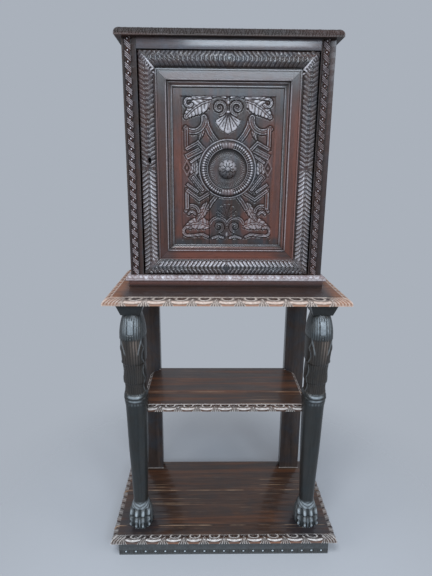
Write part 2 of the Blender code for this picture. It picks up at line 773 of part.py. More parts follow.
def build_inside():
    """Floor, back boards, and one inner shelf lying on two cleats."""
    near = FRONT_STILE_BACK + SEAT
    rail = SIDE_RAIL_INNER - SEAT
    floor_low = (-rail, near, SILL_TOP - FLOOR_THICKNESS)
    floor_mesh = box_mesh("cabinet_floor", floor_low, (rail, REAR_STILE_FRONT - SEAT, SILL_TOP))
    add_part("cabinet_floor", floor_mesh, PLAIN_OAK)
    span = 2.0 * (STILE_INNER - SEAT)
    board = span / len(BACK_BOARDS)
    for index, word in enumerate(BACK_BOARDS):
        left = -span / 2 + index * board
        low = (left + SEAT / 2, BACK_FACE, STAND_HEIGHT + SEAT)
        high = (left + board - SEAT / 2, CABINET_BACK, CORNICE_UNDERSIDE - SEAT)
        add_part(f"back_board_{word}", box_mesh(f"back_board_{word}", low, high), PLAIN_OAK)
    shelf_under = SILL_TOP + INNER_SHELF_RISE
    shelf_low = (-STILE_INNER + SEAT, FRONT_STILE_BACK + INNER_SHELF_SETBACK, shelf_under)
    shelf_high = (STILE_INNER - SEAT, BACK_FACE - SEAT, shelf_under + INNER_SHELF_THICKNESS)
    add_part("inner_shelf", box_mesh("inner_shelf", shelf_low, shelf_high), PLAIN_OAK)
    wall = SIDE_PANEL_INNER - SEAT
    for sign, word in SIDES:
        name = f"{word}_shelf_cleat"
        edges = sorted((sign * wall, sign * (wall - CLEAT_WIDTH)))
        low = (edges[0], near, shelf_under - SEAT - CLEAT_HEIGHT)
        high = (edges[1], REAR_STILE_FRONT - SEAT, shelf_under - SEAT)
        add_part(name, box_mesh(name, low, high), PLAIN_OAK)


def build_cornice():
    profile = ovolo(CORNICE_EDGE, CORNICE_LIP, CORNICE_THICKNESS)
    half = CABINET_SIDE + CORNICE_OVERHANG
    front = CABINET_FRONT - CORNICE_OVERHANG
    mesh = board_mesh("cabinet_top", half, front, CABINET_BACK, CORNICE_UNDERSIDE, profile, True)
    add_part("cabinet_top", mesh, BLACK_OAK)


def build_foot_mouldings():
    """Carved moulding round the cabinet's foot, mitred at the front corners."""
    tip = FOOT_TIP_RISE
    slope = SILL_HEIGHT - tip
    section = [(-SEAT, SEAT), (-FOOT_NECK, SEAT), (-FOOT_NECK, tip - 2.0 * FOOT_FILLET)]
    section += [(-FOOT_OVERHANG, tip - FOOT_FILLET)]
    for step in range(EDGE_STEPS + 1):
        angle = math.pi / 2 * step / EDGE_STEPS
        inset = (FOOT_OVERHANG - FOOT_LEDGE) * (1.0 - math.cos(angle))
        section.append((inset - FOOT_OVERHANG, tip + slope * math.sin(angle)))
    section.append((-SEAT, SILL_HEIGHT))
    front_mesh = bar_mesh("base_moulding_front", section, CABINET_WIDTH, 0, 1.0, -1.0)
    add_part("base_moulding_front", front_mesh, BLACK_OAK, (0.0, CABINET_FRONT, STAND_HEIGHT))
    run = CABINET_BACK - CABINET_FRONT
    middle = (CABINET_BACK + CABINET_FRONT) / 2
    for sign, word in SIDES:
        name = f"base_moulding_{word}"
        mitre = {"end": -1.0} if sign < 0 else {"start": 1.0}
        mesh = bar_mesh(name, section, run - SEAT, 0, **mitre)
        place = (sign * CABINET_SIDE, middle + SEAT / 2, STAND_HEIGHT)
        add_part(name, mesh, BLACK_OAK, place, (0.0, 0.0, sign * math.pi / 2))


def frame_section():
    """Depth and distance from the edge of a door member: torus, quirk, flat, and the panel groove."""
    section = [(DOOR_THICKNESS, 0.0)]
    for step in range(TORUS_STEPS + 1):
        angle = math.pi * step / TORUS_STEPS
        across = TORUS_WIDTH / 2 * (1.0 - math.cos(angle))
        section.append((-TORUS_HEIGHT * math.sin(angle), across))
    section.append((QUIRK, TORUS_WIDTH + QUIRK / 2))
    section.append((0.0, TORUS_WIDTH + QUIRK))
    lip = PANEL_DEPTH - SEAT
    back = PANEL_DEPTH + PANEL_THICKNESS + SEAT
    floor = FRAME_WIDTH - PANEL_GROOVE - SEAT
    section += [(0.0, FRAME_WIDTH), (lip, FRAME_WIDTH), (lip, floor), (back, floor), (back, FRAME_WIDTH)]
    section.append((DOOR_THICKNESS, FRAME_WIDTH))
    return section


def moulding_section():
    """Panel moulding: a bead on the frame's edge, then a hollow that falls to the panel."""
    start = FRAME_WIDTH - MOULDING_OUTER
    end = FRAME_WIDTH + MOULDING_INNER
    step_at = FRAME_WIDTH + SEAT
    seat = PANEL_DEPTH - SEAT
    section = [(-SEAT, start)]
    for share, rise in MOULDING_PROFILE:
        section.append((-rise * MOULDING_BEAD, start + share * (end - start)))
    section += [(seat, end), (seat, step_at), (-SEAT, step_at)]
    return section


def add_door_frame(names, section, finish, pivot):
    """Four mitred members of one section, turned round the door's outline."""
    width = 2.0 * DOOR_EDGE
    height = DOOR_TOP - DOOR_BOTTOM
    members = (
        ("bottom", width, (0.0, DOOR_BOTTOM), 0.0),
        ("top", width, (0.0, DOOR_TOP), math.pi),
        ("left", height, (-DOOR_EDGE, DOOR_MIDDLE), math.pi / 2),
        ("right", height, (DOOR_EDGE, DOOR_MIDDLE), -math.pi / 2),
    )
    made = {}
    for word, length, (x, z), turn in members:
        name = f"{names}_{word}"
        mesh = bar_mesh(name, section, length - SEAT, 1, 1.0, -1.0)
        made[word] = add_part(name, mesh, finish, (x, CABINET_FRONT, z), (0.0, turn, 0.0), pivot)
    return made


def keyhole_outline():
    """A round hole with a straight slot below, in X and Z."""
    half = KEYHOLE_SLOT / 2
    start = -math.pi / 2 + math.asin(half / KEYHOLE_RADIUS)
    sweep = 2.0 * math.pi - 2.0 * math.asin(half / KEYHOLE_RADIUS)
    outline = []
    for step in range(KEYHOLE_STEPS + 1):
        angle = start + sweep * step / KEYHOLE_STEPS
        outline.append((KEYHOLE_RADIUS * math.cos(angle), KEYHOLE_RADIUS * math.sin(angle)))
    return outline + [(-half, -KEYHOLE_DROP), (half, -KEYHOLE_DROP)]


def build_door(pivot):
    frame = add_door_frame("door_frame", frame_section(), BLACK_OAK, pivot)
    add_door_frame("panel_moulding", moulding_section(), BLACK_OAK, pivot)
    keyhole = prism_mesh("keyhole", keyhole_outline(), -DOOR_THICKNESS * 2.0, DOOR_THICKNESS * 2.0)
    cut(frame["left"], keyhole, (KEYHOLE_X, CABINET_FRONT, KEYHOLE_Z), (math.pi / 2, 0.0, 0.0))
    radius = BUSH_RADIUS + SEAT
    reach = BUSH_LENGTH + SEAT
    upper = cylinder_mesh("upper_bush_hole", radius, DOOR_TOP - reach, DOOR_TOP + reach)
    cut(frame["top"], upper, (PIVOT_X, PIVOT_Y, 0.0))
    lower = cylinder_mesh("lower_bush_hole", radius, DOOR_BOTTOM - reach, DOOR_BOTTOM + reach)
    cut(frame["bottom"], lower, (PIVOT_X, PIVOT_Y, 0.0))

    edge = DOOR_EDGE - FRAME_WIDTH + PANEL_GROOVE - SEAT
    low_z = DOOR_BOTTOM + FRAME_WIDTH - PANEL_GROOVE + SEAT
    high_z = DOOR_TOP - FRAME_WIDTH + PANEL_GROOVE - SEAT
    boards = (
        ("door_panel_left", -edge, PANEL_JOINT_X - SEAT),
        ("door_panel_right", PANEL_JOINT_X, edge),
    )
    for name, left, right in boards:
        low = Vector((left, PANEL_FACE, low_z)) - pivot.location
        high = Vector((right, PANEL_FACE + PANEL_THICKNESS, high_z)) - pivot.location
        add_part(name, box_mesh(name, low, high), BLACK_OAK, pivot.location, parent=pivot)


def build_medallion(pivot):
    """A turned dish with a rounded rim, and the boss that stands in it, both applied to the panel."""
    forward = (math.pi / 2, 0.0, 0.0)
    rim_middle = (MEDALLION_RADIUS + DISH_RADIUS) / 2
    rim_half = (MEDALLION_RADIUS - DISH_RADIUS) / 2
    profile = [(0.0, DISH_THICKNESS), (DISH_RADIUS - DISH_THICKNESS, DISH_THICKNESS)]
    for step in range(RING_STEPS + 1):
        angle = math.pi * (1.0 - step / RING_STEPS)
        rise = DISH_THICKNESS + (RING_HEIGHT - DISH_THICKNESS) * math.sin(angle)
        profile.append((rim_middle + rim_half * math.cos(angle), rise))
    profile += [(MEDALLION_RADIUS, 0.0), (0.0, 0.0)]
    place = (0.0, PANEL_FACE - SEAT, DOOR_MIDDLE)
    turned_part("medallion", profile, TURNING_STEPS, BLACK_OAK, place, forward, pivot)

    profile = [(out * BOSS_RADIUS, rise * BOSS_HEIGHT) for out, rise in BOSS_PROFILE]
    place = (0.0, PANEL_FACE - DISH_THICKNESS - 2.0 * SEAT, DOOR_MIDDLE)
    turned_part("rosette_boss", profile, BOSS_STEPS, BLACK_OAK, place, forward, pivot)


def build_pivots(pivot):
    """Pins in the rails and bushes in the door. The lower pin's collar carries the door."""
    inner = PIN_RADIUS + SEAT
    bush = [(BUSH_RADIUS, 0.0), (BUSH_RADIUS, -BUSH_LENGTH), (inner, -BUSH_LENGTH), (inner, 0.0)]
    place = (PIVOT_X, PIVOT_Y, DOOR_TOP)
    turned_part("upper_pivot_bush", bush, PIN_STEPS, IRON, place, None, pivot, True)
    place = (PIVOT_X, PIVOT_Y, DOOR_BOTTOM + BUSH_LENGTH)
    turned_part("lower_pivot_bush", bush, PIN_STEPS, IRON, place, None, pivot, True)
    upper = cylinder_mesh("upper_pivot_pin", PIN_RADIUS, DOOR_TOP - PIN_REACH, FRIEZE_UNDERSIDE + PIN_REACH)
    add_part("upper_pivot_pin", upper, IRON, (PIVOT_X, PIVOT_Y, 0.0))
    profile = [
        (0.0, DOOR_BOTTOM + PIN_REACH),
        (PIN_RADIUS, DOOR_BOTTOM + PIN_REACH),
        (PIN_RADIUS, DOOR_BOTTOM - SEAT),
        (PIN_COLLAR_RADIUS, DOOR_BOTTOM - SEAT),
        (PIN_COLLAR_RADIUS, SILL_TOP + SEAT),
        (PIN_RADIUS, SILL_TOP + SEAT),
        (PIN_RADIUS, SILL_TOP - PIN_REACH),
        (0.0, SILL_TOP - PIN_REACH),
    ]
    turned_part("lower_pivot_pin", profile, PIN_STEPS, IRON, (PIVOT_X, PIVOT_Y, 0.0))


def build_lock(pivot):
    """A rim lock behind the keyhole: an open-backed case on the door, and the bolt that slides in it."""
    near = DOOR_BACK + SEAT
    size = Vector((LOCK_WIDTH, LOCK_DEPTH, LOCK_HEIGHT))
    corner = Vector((LOCK_LEFT, near, KEYHOLE_Z - LOCK_HEIGHT / 2))
    case = add_part("lock_case", box_mesh("lock_case", (0.0, 0.0, 0.0), size), IRON, corner, parent=pivot)
    wall = LOCK_WALL
    low = (wall, -wall, wall)
    high = (LOCK_WIDTH - wall, LOCK_DEPTH - wall, LOCK_HEIGHT - wall)
    cut(case, box_mesh("lock_hollow", low, high), corner)
    half_depth = BOLT_THICKNESS / 2 + SEAT
    half_height = BOLT_HEIGHT / 2 + SEAT
    slot = box_mesh("bolt_slot", (-wall, -half_depth, -half_height), (2.0 * wall, half_depth, half_height))
    cut(case, slot, (LOCK_LEFT, BOLT_Y, BOLT_Z))
    half = Vector((BOLT_LENGTH, BOLT_THICKNESS, BOLT_HEIGHT)) / 2
    place = (BOLT_TIP + BOLT_LENGTH / 2, BOLT_Y, BOLT_Z)
    add_part("lock_bolt", box_mesh("lock_bolt", -half, half), IRON, place, parent=pivot)


def build():
    build_plinth()
    build_base()
    build_legs()
    build_posts()
    build_shelf()
    build_top()
    build_stiles()
    build_front_rails()
    build_sides()
    build_inside()
    build_foot_mouldings()
    build_cornice()
    pivot = bpy.data.objects.new("door_pivot", None)
    parts.objects.link(pivot)
    pivot.location = (PIVOT_X, PIVOT_Y, DOOR_BOTTOM)
    build_door(pivot)
    build_medallion(pivot)
    build_pivots(pivot)
    build_lock(pivot)


build()
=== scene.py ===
"""Looks of a carved oak credenza: carved pieces and waxed finishes fitted over the fixed frame."""

import json
import math

import bmesh
import bpy
import numpy as np
from mathutils import Matrix, Vector


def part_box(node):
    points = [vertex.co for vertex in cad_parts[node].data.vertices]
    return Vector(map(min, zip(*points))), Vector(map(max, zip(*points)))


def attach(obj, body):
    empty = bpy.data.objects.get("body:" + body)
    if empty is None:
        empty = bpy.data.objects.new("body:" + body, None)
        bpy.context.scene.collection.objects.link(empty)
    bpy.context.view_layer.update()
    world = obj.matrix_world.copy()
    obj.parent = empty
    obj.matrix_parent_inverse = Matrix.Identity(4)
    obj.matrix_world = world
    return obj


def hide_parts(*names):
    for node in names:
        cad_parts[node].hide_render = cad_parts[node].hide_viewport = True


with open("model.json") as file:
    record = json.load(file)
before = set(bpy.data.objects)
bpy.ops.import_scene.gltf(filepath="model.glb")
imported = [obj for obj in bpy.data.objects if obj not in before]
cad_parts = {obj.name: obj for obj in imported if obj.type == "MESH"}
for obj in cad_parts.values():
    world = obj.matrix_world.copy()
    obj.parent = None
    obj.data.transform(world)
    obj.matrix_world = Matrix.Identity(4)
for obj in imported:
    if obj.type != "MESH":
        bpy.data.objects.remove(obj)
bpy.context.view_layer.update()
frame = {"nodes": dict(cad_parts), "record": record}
nodes = frame["nodes"]

TAU = 2.0 * math.pi
SIDES = ("left", "right")
# Gap kept between pieces that touch
SEAT = 0.0003
# Angle in degrees from which the edge between two faces stays sharp
SHARP = 42.0

# Moulded edges: width of the round, and height of the lip below it
BASE_EDGE = (0.021, 0.005)
TOP_EDGE = (0.027, 0.005)
SHELF_EDGE = (0.014, 0.005)
CORNICE_EDGE = (0.020, 0.005)
# Spacing of the points along a carved edge
EDGE_STEP = 0.0018

# Door members: torus, quirk, whole width and thickness
TORUS_WIDTH = 0.046
TORUS_HEIGHT = 0.012
QUIRK = 0.0015
FRAME_WIDTH = 0.078
DOOR_THICKNESS = 0.020

# Leg: half width, reach to the front and reach to the back, after the height above the base or below the top
LEG_SQUARENESS = 2.6
PAW = (
    (0.000, 0.0375, 0.0405, 0.0435),
    (0.009, 0.0398, 0.0445, 0.0448),
    (0.022, 0.0405, 0.0450, 0.0450),
    (0.034, 0.0396, 0.0405, 0.0445),
    (0.047, 0.0378, 0.0378, 0.0422),
    (0.060, 0.0335, 0.0305, 0.0380),
    (0.074, 0.0290, 0.0250, 0.0340),
    (0.092, 0.0242, 0.0195, 0.0295),
    (0.129, 0.0252, 0.0195, 0.0305),
)
SHAFT_MIDDLE = (0.0313, 0.0260, 0.0358)
KNEE = (
    (0.301, 0.0355, 0.0325, 0.0405),
    (0.295, 0.0370, 0.0352, 0.0422),
    (0.288, 0.0366, 0.0346, 0.0418),
    (0.283, 0.0379, 0.0368, 0.0434),
    (0.275, 0.0378, 0.0366, 0.0432),
    (0.269, 0.0345, 0.0320, 0.0400),
    (0.234, 0.0340, 0.0350, 0.0405),
    (0.226, 0.0368, 0.0385, 0.0425),
    (0.189, 0.0362, 0.0420, 0.0425),
    (0.164, 0.0350, 0.0475, 0.0420),
    (0.155, 0.0388, 0.0525, 0.0440),
    (0.132, 0.0399, 0.0572, 0.0447),
    (0.109, 0.0405, 0.0610, 0.0450),
    (0.084, 0.0402, 0.0632, 0.0443),
    (0.059, 0.0393, 0.0640, 0.0430),
    (0.040, 0.0374, 0.0606, 0.0405),
    (0.024, 0.0345, 0.0550, 0.0370),
    (0.010, 0.0310, 0.0480, 0.0328),
    (0.000, 0.0285, 0.0430, 0.0300),
)


def ease(low, high, value):
    """A smooth step from 0 at low to 1 at high."""
    share = np.clip((value - low) / (high - low), 0.0, 1.0)
    return share * share * (3.0 - 2.0 * share)


def dome(distance):
    """A round back: 1 on the middle line, 0 from a distance of 1."""
    return np.sqrt(np.clip(1.0 - distance * distance, 0.0, 1.0))


def repeat(value, pitch):
    """Distance from the middle of the nearest repeat, as a share of the pitch."""
    return value / pitch - np.round(value / pitch)


class Tone:
    """One value in a finish; sums and products of tones add their nodes."""

    def __init__(self, finish, socket):
        self.finish = finish
        self.socket = socket

    def maths(self, operation, first, second):
        return self.finish.node("ShaderNodeMath", {"operation": operation}, {0: first, 1: second})

    def __add__(self, other):
        return self.maths("ADD", self, other)

    def __sub__(self, other):
        return self.maths("SUBTRACT", self, other)

    def __rsub__(self, other):
        return self.maths("SUBTRACT", other, self)

    def __mul__(self, other):
        return self.maths("MULTIPLY", self, other)

    __radd__ = __add__
    __rmul__ = __mul__


class Finish:
    """A finish under construction: a material or a backdrop, and the nodes that feed its shader."""

    def __init__(self, name, library=bpy.data.materials, shader="Principled BSDF"):
        self.material = library.new(name)
        self.material.use_nodes = True
        self.tree = self.material.node_tree
        self.shader = self.tree.nodes[shader]

    def node(self, kind, settings=None, sockets=None, output=0):
        """Adds a node, gives it its settings, then the values or links of its sockets."""
        made = self.tree.nodes.new(kind)
        for key, value in (settings or {}).items():
            if key == "stops":
                for stop, (place, shade) in zip(made.color_ramp.elements, value):
                    stop.position = place
                    stop.color = (shade, shade, shade, 1.0)
            else:
                setattr(made, key, value)
        for key, value in (sockets or {}).items():
            self.feed(made.inputs[key], value)
        return Tone(self, made.outputs[output])

    def feed(self, socket, value):
        if isinstance(value, Tone):
            self.tree.links.new(value.socket, socket)
        else:
            socket.default_value = value

    def set(self, **values):
        for name, value in values.items():
            self.feed(self.shader.inputs[name.replace("_", " ")], value)

    def place(self):
        return self.node("ShaderNodeTexCoord", output=3)

    def stretched(self, place, factors):
        return self.node("ShaderNodeVectorMath", {"operation": "MULTIPLY"}, {0: place, 1: factors})

    def noise(self, place, scale, detail=2.0, roughness=0.5, distortion=0.0):
        sockets = {"Vector": place, "Scale": scale, "Detail": detail}
        sockets.update({"Roughness": roughness, "Distortion": distortion})
        return self.node("ShaderNodeTexNoise", None, sockets)

    def ramp(self, value, low, high):
        """0 below low, 1 above high."""
        stops = [(low, 0.0), (high, 1.0)]
        return self.node("ShaderNodeValToRGB", {"stops": stops}, {"Fac": value})

    def along(self, place, axis):
        return self.node("ShaderNodeSeparateXYZ", None, {0: place}, axis)

    def span(self, value, start, end, first=0.0, last=1.0, change="LINEAR"):
        """First up to the start, last from the end, and a change from one to the other between them."""
        sockets = {"Value": value, "From Min": start, "From Max": end, "To Min": first, "To Max": last}
        return self.node("ShaderNodeMapRange", {"interpolation_type": change}, sockets)

    def size(self, value):
        """A value without its sign."""
        return self.node("ShaderNodeMath", {"operation": "ABSOLUTE"}, {0: value})

    def near(self, value, middle, full, none, most=1.0):
        """Most up to one distance from the middle, falling to 0 at a second distance."""
        return self.span(self.size(value - middle), full, none, most, 0.0)

    def carved(self, word):
        """A value that the carving left on each point of its mesh."""
        return self.node("ShaderNodeAttribute", {"attribute_name": word}, output=2)

    def blend(self, share, first, second):
        return self.node("ShaderNodeMix", {"data_type": "RGBA"}, {0: share, 6: first, 7: second}, 2)

    def bump(self, height, strength, distance):
        sockets = {"Height": height, "Strength": strength, "Distance": distance}
        return self.node("ShaderNodeBump", None, sockets)


def paint(red, green, blue):
    return (red, green, blue, 1.0)


# How far the grain is drawn out along each direction of a board
GRAIN = {"x": (0.05, 1.0, 1.0), "y": (1.0, 0.05, 1.0), "z": (1.0, 1.0, 0.05)}
# Scratches through the stain, and the painted shadow round a foot
GOLDEN = (0.50, 0.33, 0.21)
FOOT_SHADOW = (0.026, 0.026, 0.031)


def oak(
    name, grain, deep, light, wear_and_highlight, warm, tone_and_sheen, rough=0.34, coat=0.5, blush=0.0,
    ends=None, seams=(), feet=(), posts=(),
):
    """Stained and waxed oak: grain, pores, patches of a second tone (a painted sheen where that tone is
    bluish), crests pale from wear and painted highlight, hollows dark from dirt and painted shade, and warm
    bare places.
    """
    finish = Finish(name)
    place = finish.place()
    drawn = finish.stretched(place, GRAIN[grain])
    fibre = finish.ramp(finish.noise(drawn, 420.0, 4.0, 0.6), 0.30, 0.70)
    bands = finish.ramp(finish.noise(drawn, 46.0, 4.0, 0.6, 1.4), 0.34, 0.66)
    pores = finish.ramp(finish.noise(drawn, 900.0, 2.0), 0.58, 0.72)
    patches = finish.noise(place, 9.0, 3.0)
    scuffs = finish.noise(place, 110.0, 4.0, 0.65)
    tone_and_sheen_patches = finish.ramp(finish.noise(place, 19.0, 4.0, 0.6, 0.6), 0.42, 0.68)
    crests = finish.carved("wear_and_highlight")
    dirt_and_shade_amount = finish.carved("dirt_and_shade")
    bare = finish.carved("warm")
    if blush:
        bare = bare + finish.ramp(finish.noise(drawn, 30.0, 3.0, 0.55, 0.8), 0.46, 0.64) * blush
    if ends is not None:
        bare = bare + end_wear(finish, place, *ends)

    colour = finish.blend(bands * 0.65 + fibre * 0.35, paint(*deep), paint(*light))
    colour = finish.blend(finish.ramp(patches, 0.30, 0.75) * 0.45, colour, paint(*deep))
    # Patches of the second tone; where it is bluish it is a painted sheen.
    colour = finish.blend(tone_and_sheen_patches * 0.55, colour, paint(*tone_and_sheen))
    colour = finish.blend(bare * (0.15 + patches * 0.6 + bands * 0.50), colour, paint(*warm))
    colour = finish.blend(pores * 0.45, colour, paint(*(0.35 * shade for shade in deep)))
    for foot in feet:
        colour = finish.blend(foot_shadow(finish, place, foot), colour, paint(*FOOT_SHADOW))
    if seams:
        lines = scratches(finish, place)
        for board in seams:
            lines = lines + seam_wear(finish, place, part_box(board)[1].y)
        colour = finish.blend(lines, colour, paint(*GOLDEN))
    for post in posts:
        crests = crests + post_line(finish, place, post)
    # Pale crests: wear, and painted highlight.
    colour = finish.blend(crests * (0.05 + scuffs * 1.25), colour, paint(*wear_and_highlight))
    # Dark hollows: dirt, and painted shade.
    colour = finish.blend(dirt_and_shade_amount * 0.85, colour, paint(*(0.30 * shade for shade in deep)))
    waxed = finish.ramp(1.0 - bare * 0.6, 0.0, 1.0)
    roughness = rough - 0.02 + fibre * 0.08 + patches * 0.14 + dirt_and_shade_amount * 0.30 - crests * 0.04 - waxed * 0.10
    height = fibre * 0.5 - pores * 0.6 + scuffs * 0.35
    finish.set(Base_Color=colour, Roughness=roughness, Specular_IOR_Level=0.25)
    finish.set(Coat_Weight=coat * (1.0 - dirt_and_shade_amount * 0.8) * waxed, Coat_Roughness=0.16)
    finish.set(Normal=finish.bump(height, 0.22, 0.0012))
    return finish.material


def foot_shadow(finish, place, foot):
    """A dark patch of painted shadow on a board round a leg's foot, uneven at its edge."""
    low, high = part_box(foot)
    middle = ((low.x + high.x) / 2, (low.y + high.y) / 2, low.z)
    away = finish.node("ShaderNodeVectorMath", {"operation": "DISTANCE"}, {0: place, 1: middle}, 1)
    uneven = away + finish.noise(place, 18.0, 3.0) * 0.05
    return finish.span(uneven, 0.065, 0.140, 0.85, 0.0)


def post_line(finish, place, post):
    """A pale line on a board along the front of a post."""
    low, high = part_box(post)
    half = (high.x - low.x) / 2
    beside = finish.near(finish.along(place, "X"), low.x + half, half, half + 0.004)
    return beside * finish.near(finish.along(place, "Y"), low.y - 0.0015, 0.0015, 0.0032, 0.8)


def seam_wear(finish, place, joint):
    """A pale line along the joint between two boards, in broken lengths."""
    line = finish.near(finish.along(place, "Y"), joint, 0.0008, 0.0020, 0.80)
    return line * finish.ramp(finish.noise(finish.stretched(place, (1.0, 0.2, 1.0)), 14.0), 0.40, 0.62)


def scratches(finish, place):
    """Fine pale scratches along a board, in broken lengths."""
    drawn = finish.stretched(place, (0.012, 1.0, 1.0))
    lines = finish.ramp(finish.noise(drawn, 260.0, 2.0), 0.62, 0.72)
    lengths = finish.ramp(finish.noise(finish.stretched(place, (1.0, 0.5, 1.0)), 11.0, 3.0), 0.45, 0.62)
    return lines * lengths * 0.55


def end_wear(finish, place, start, full):
    """Bare wood towards the two ends of a board, past a distance from the middle."""
    return finish.span(finish.size(finish.along(place, "X")), start, full, change="SMOOTHSTEP")


def forged_iron():
    finish = Finish("forged_iron")
    place = finish.place()
    dents = finish.noise(place, 150.0, 4.0, 0.6)
    rust = finish.ramp(finish.noise(place, 60.0, 3.0), 0.52, 0.70)
    colour = finish.blend(rust * 0.6, paint(0.075, 0.070, 0.066), paint(0.110, 0.050, 0.026))
    finish.set(Base_Color=colour, Roughness=0.42 + rust * 0.3 + dents * 0.1)
    finish.set(Metallic=0.85 - rust * 0.7, Normal=finish.bump(dents, 0.35, 0.0006))
    return finish.material


# Stains and waxes: the wood in its hollows and on its ridges, its pale crests (wear and painted highlight),
# its bare places, and its second tone, a painted sheen where it is bluish
BLACK = {
    "deep": (0.018, 0.014, 0.013), "light": (0.052, 0.036, 0.031), "wear_and_highlight": (0.60, 0.58, 0.62),
    "warm": (0.138, 0.048, 0.033), "tone_and_sheen": (0.035, 0.050, 0.068),
}
CORNICE = {**BLACK, "tone_and_sheen": (0.034, 0.032, 0.032)}
# The frieze: the black stain made paler and bluer, a painted reflection of the front lamp's sheen.
FRIEZE_PAINTED_SHEEN = {
    **BLACK, "deep": (0.044, 0.045, 0.052), "light": (0.082, 0.073, 0.078), "tone_and_sheen": (0.066, 0.086, 0.112),
}
POST = {**BLACK, "deep": (0.028, 0.021, 0.019), "light": (0.094, 0.068, 0.058)}
BOARD = {
    "deep": (0.024, 0.012, 0.008), "light": (0.098, 0.046, 0.026), "wear_and_highlight": (0.74, 0.70, 0.67),
    "warm": (0.24, 0.086, 0.034), "tone_and_sheen": (0.034, 0.025, 0.023),
}
SLAB = {
    "deep": (0.020, 0.012, 0.010), "light": (0.088, 0.048, 0.036), "wear_and_highlight": (0.78, 0.66, 0.58),
    "warm": (0.30, 0.120, 0.056), "tone_and_sheen": (0.052, 0.044, 0.046),
}
GREEN = {
    "deep": (0.013, 0.014, 0.014), "light": (0.036, 0.037, 0.036), "wear_and_highlight": (0.51, 0.58, 0.63),
    "warm": (0.11, 0.070, 0.046), "tone_and_sheen": (0.022, 0.030, 0.034),
}
PLINTH = {
    **GREEN, "deep": (0.018, 0.018, 0.017), "light": (0.058, 0.055, 0.049), "tone_and_sheen": (0.037, 0.038, 0.036),
}
PLAIN = {
    "deep": (0.060, 0.033, 0.020), "light": (0.150, 0.088, 0.052), "wear_and_highlight": (0.30, 0.20, 0.13),
    "warm": (0.20, 0.10, 0.055), "tone_and_sheen": (0.100, 0.068, 0.046),
}
LEVEL_WAX = {"rough": 0.42, "coat": 0.6, "posts": ("left_post", "right_post")}
PLINTH_WAX = {"rough": 0.40, "coat": 0.3}
NO_WAX = {"rough": 0.62, "coat": 0.0}

black_upright = oak("black_oak_upright", "z", **BLACK, coat=0.40, blush=0.30)
black_level = oak("black_oak_level", "x", **BLACK, coat=0.75, blush=0.30)
frieze_oak_painted_sheen = oak("frieze_oak_painted_sheen", "x", **FRIEZE_PAINTED_SHEEN, rough=0.30, coat=1.0, blush=0.30)
cornice_oak = oak("cornice_oak", "x", **CORNICE, rough=0.56, coat=0.05, blush=0.50)
black_deep = oak("black_oak_front_to_back", "y", **BLACK, blush=0.30)
post_oak = oak("post_oak", "z", **POST, coat=0.3)
slab_oak = oak("slab_oak", "x", **SLAB, rough=0.42, coat=0.15, ends=(0.292, 0.330))
base_oak = oak(
    "base_oak", "x", **BOARD, **LEVEL_WAX, blush=0.40,
    seams=("base_front_board", "base_middle_board"), feet=("left_leg", "right_leg"),
)
shelf_oak = oak("shelf_oak", "x", **BOARD, **LEVEL_WAX, blush=0.60, seams=("shelf_front_board",))
leg_oak = oak("leg_oak", "z", **GREEN, rough=0.40, coat=0.25)
plinth_oak = oak("plinth_oak", "x", **PLINTH, **PLINTH_WAX)
plinth_deep = oak("plinth_oak_front_to_back", "y", **PLINTH, **PLINTH_WAX)
plain_upright = oak("plain_oak_upright", "z", **PLAIN, **NO_WAX)
plain_level = oak("plain_oak_level", "x", **PLAIN, **NO_WAX)
plain_deep = oak("plain_oak_front_to_back", "y", **PLAIN, **NO_WAX)
iron = forged_iron()


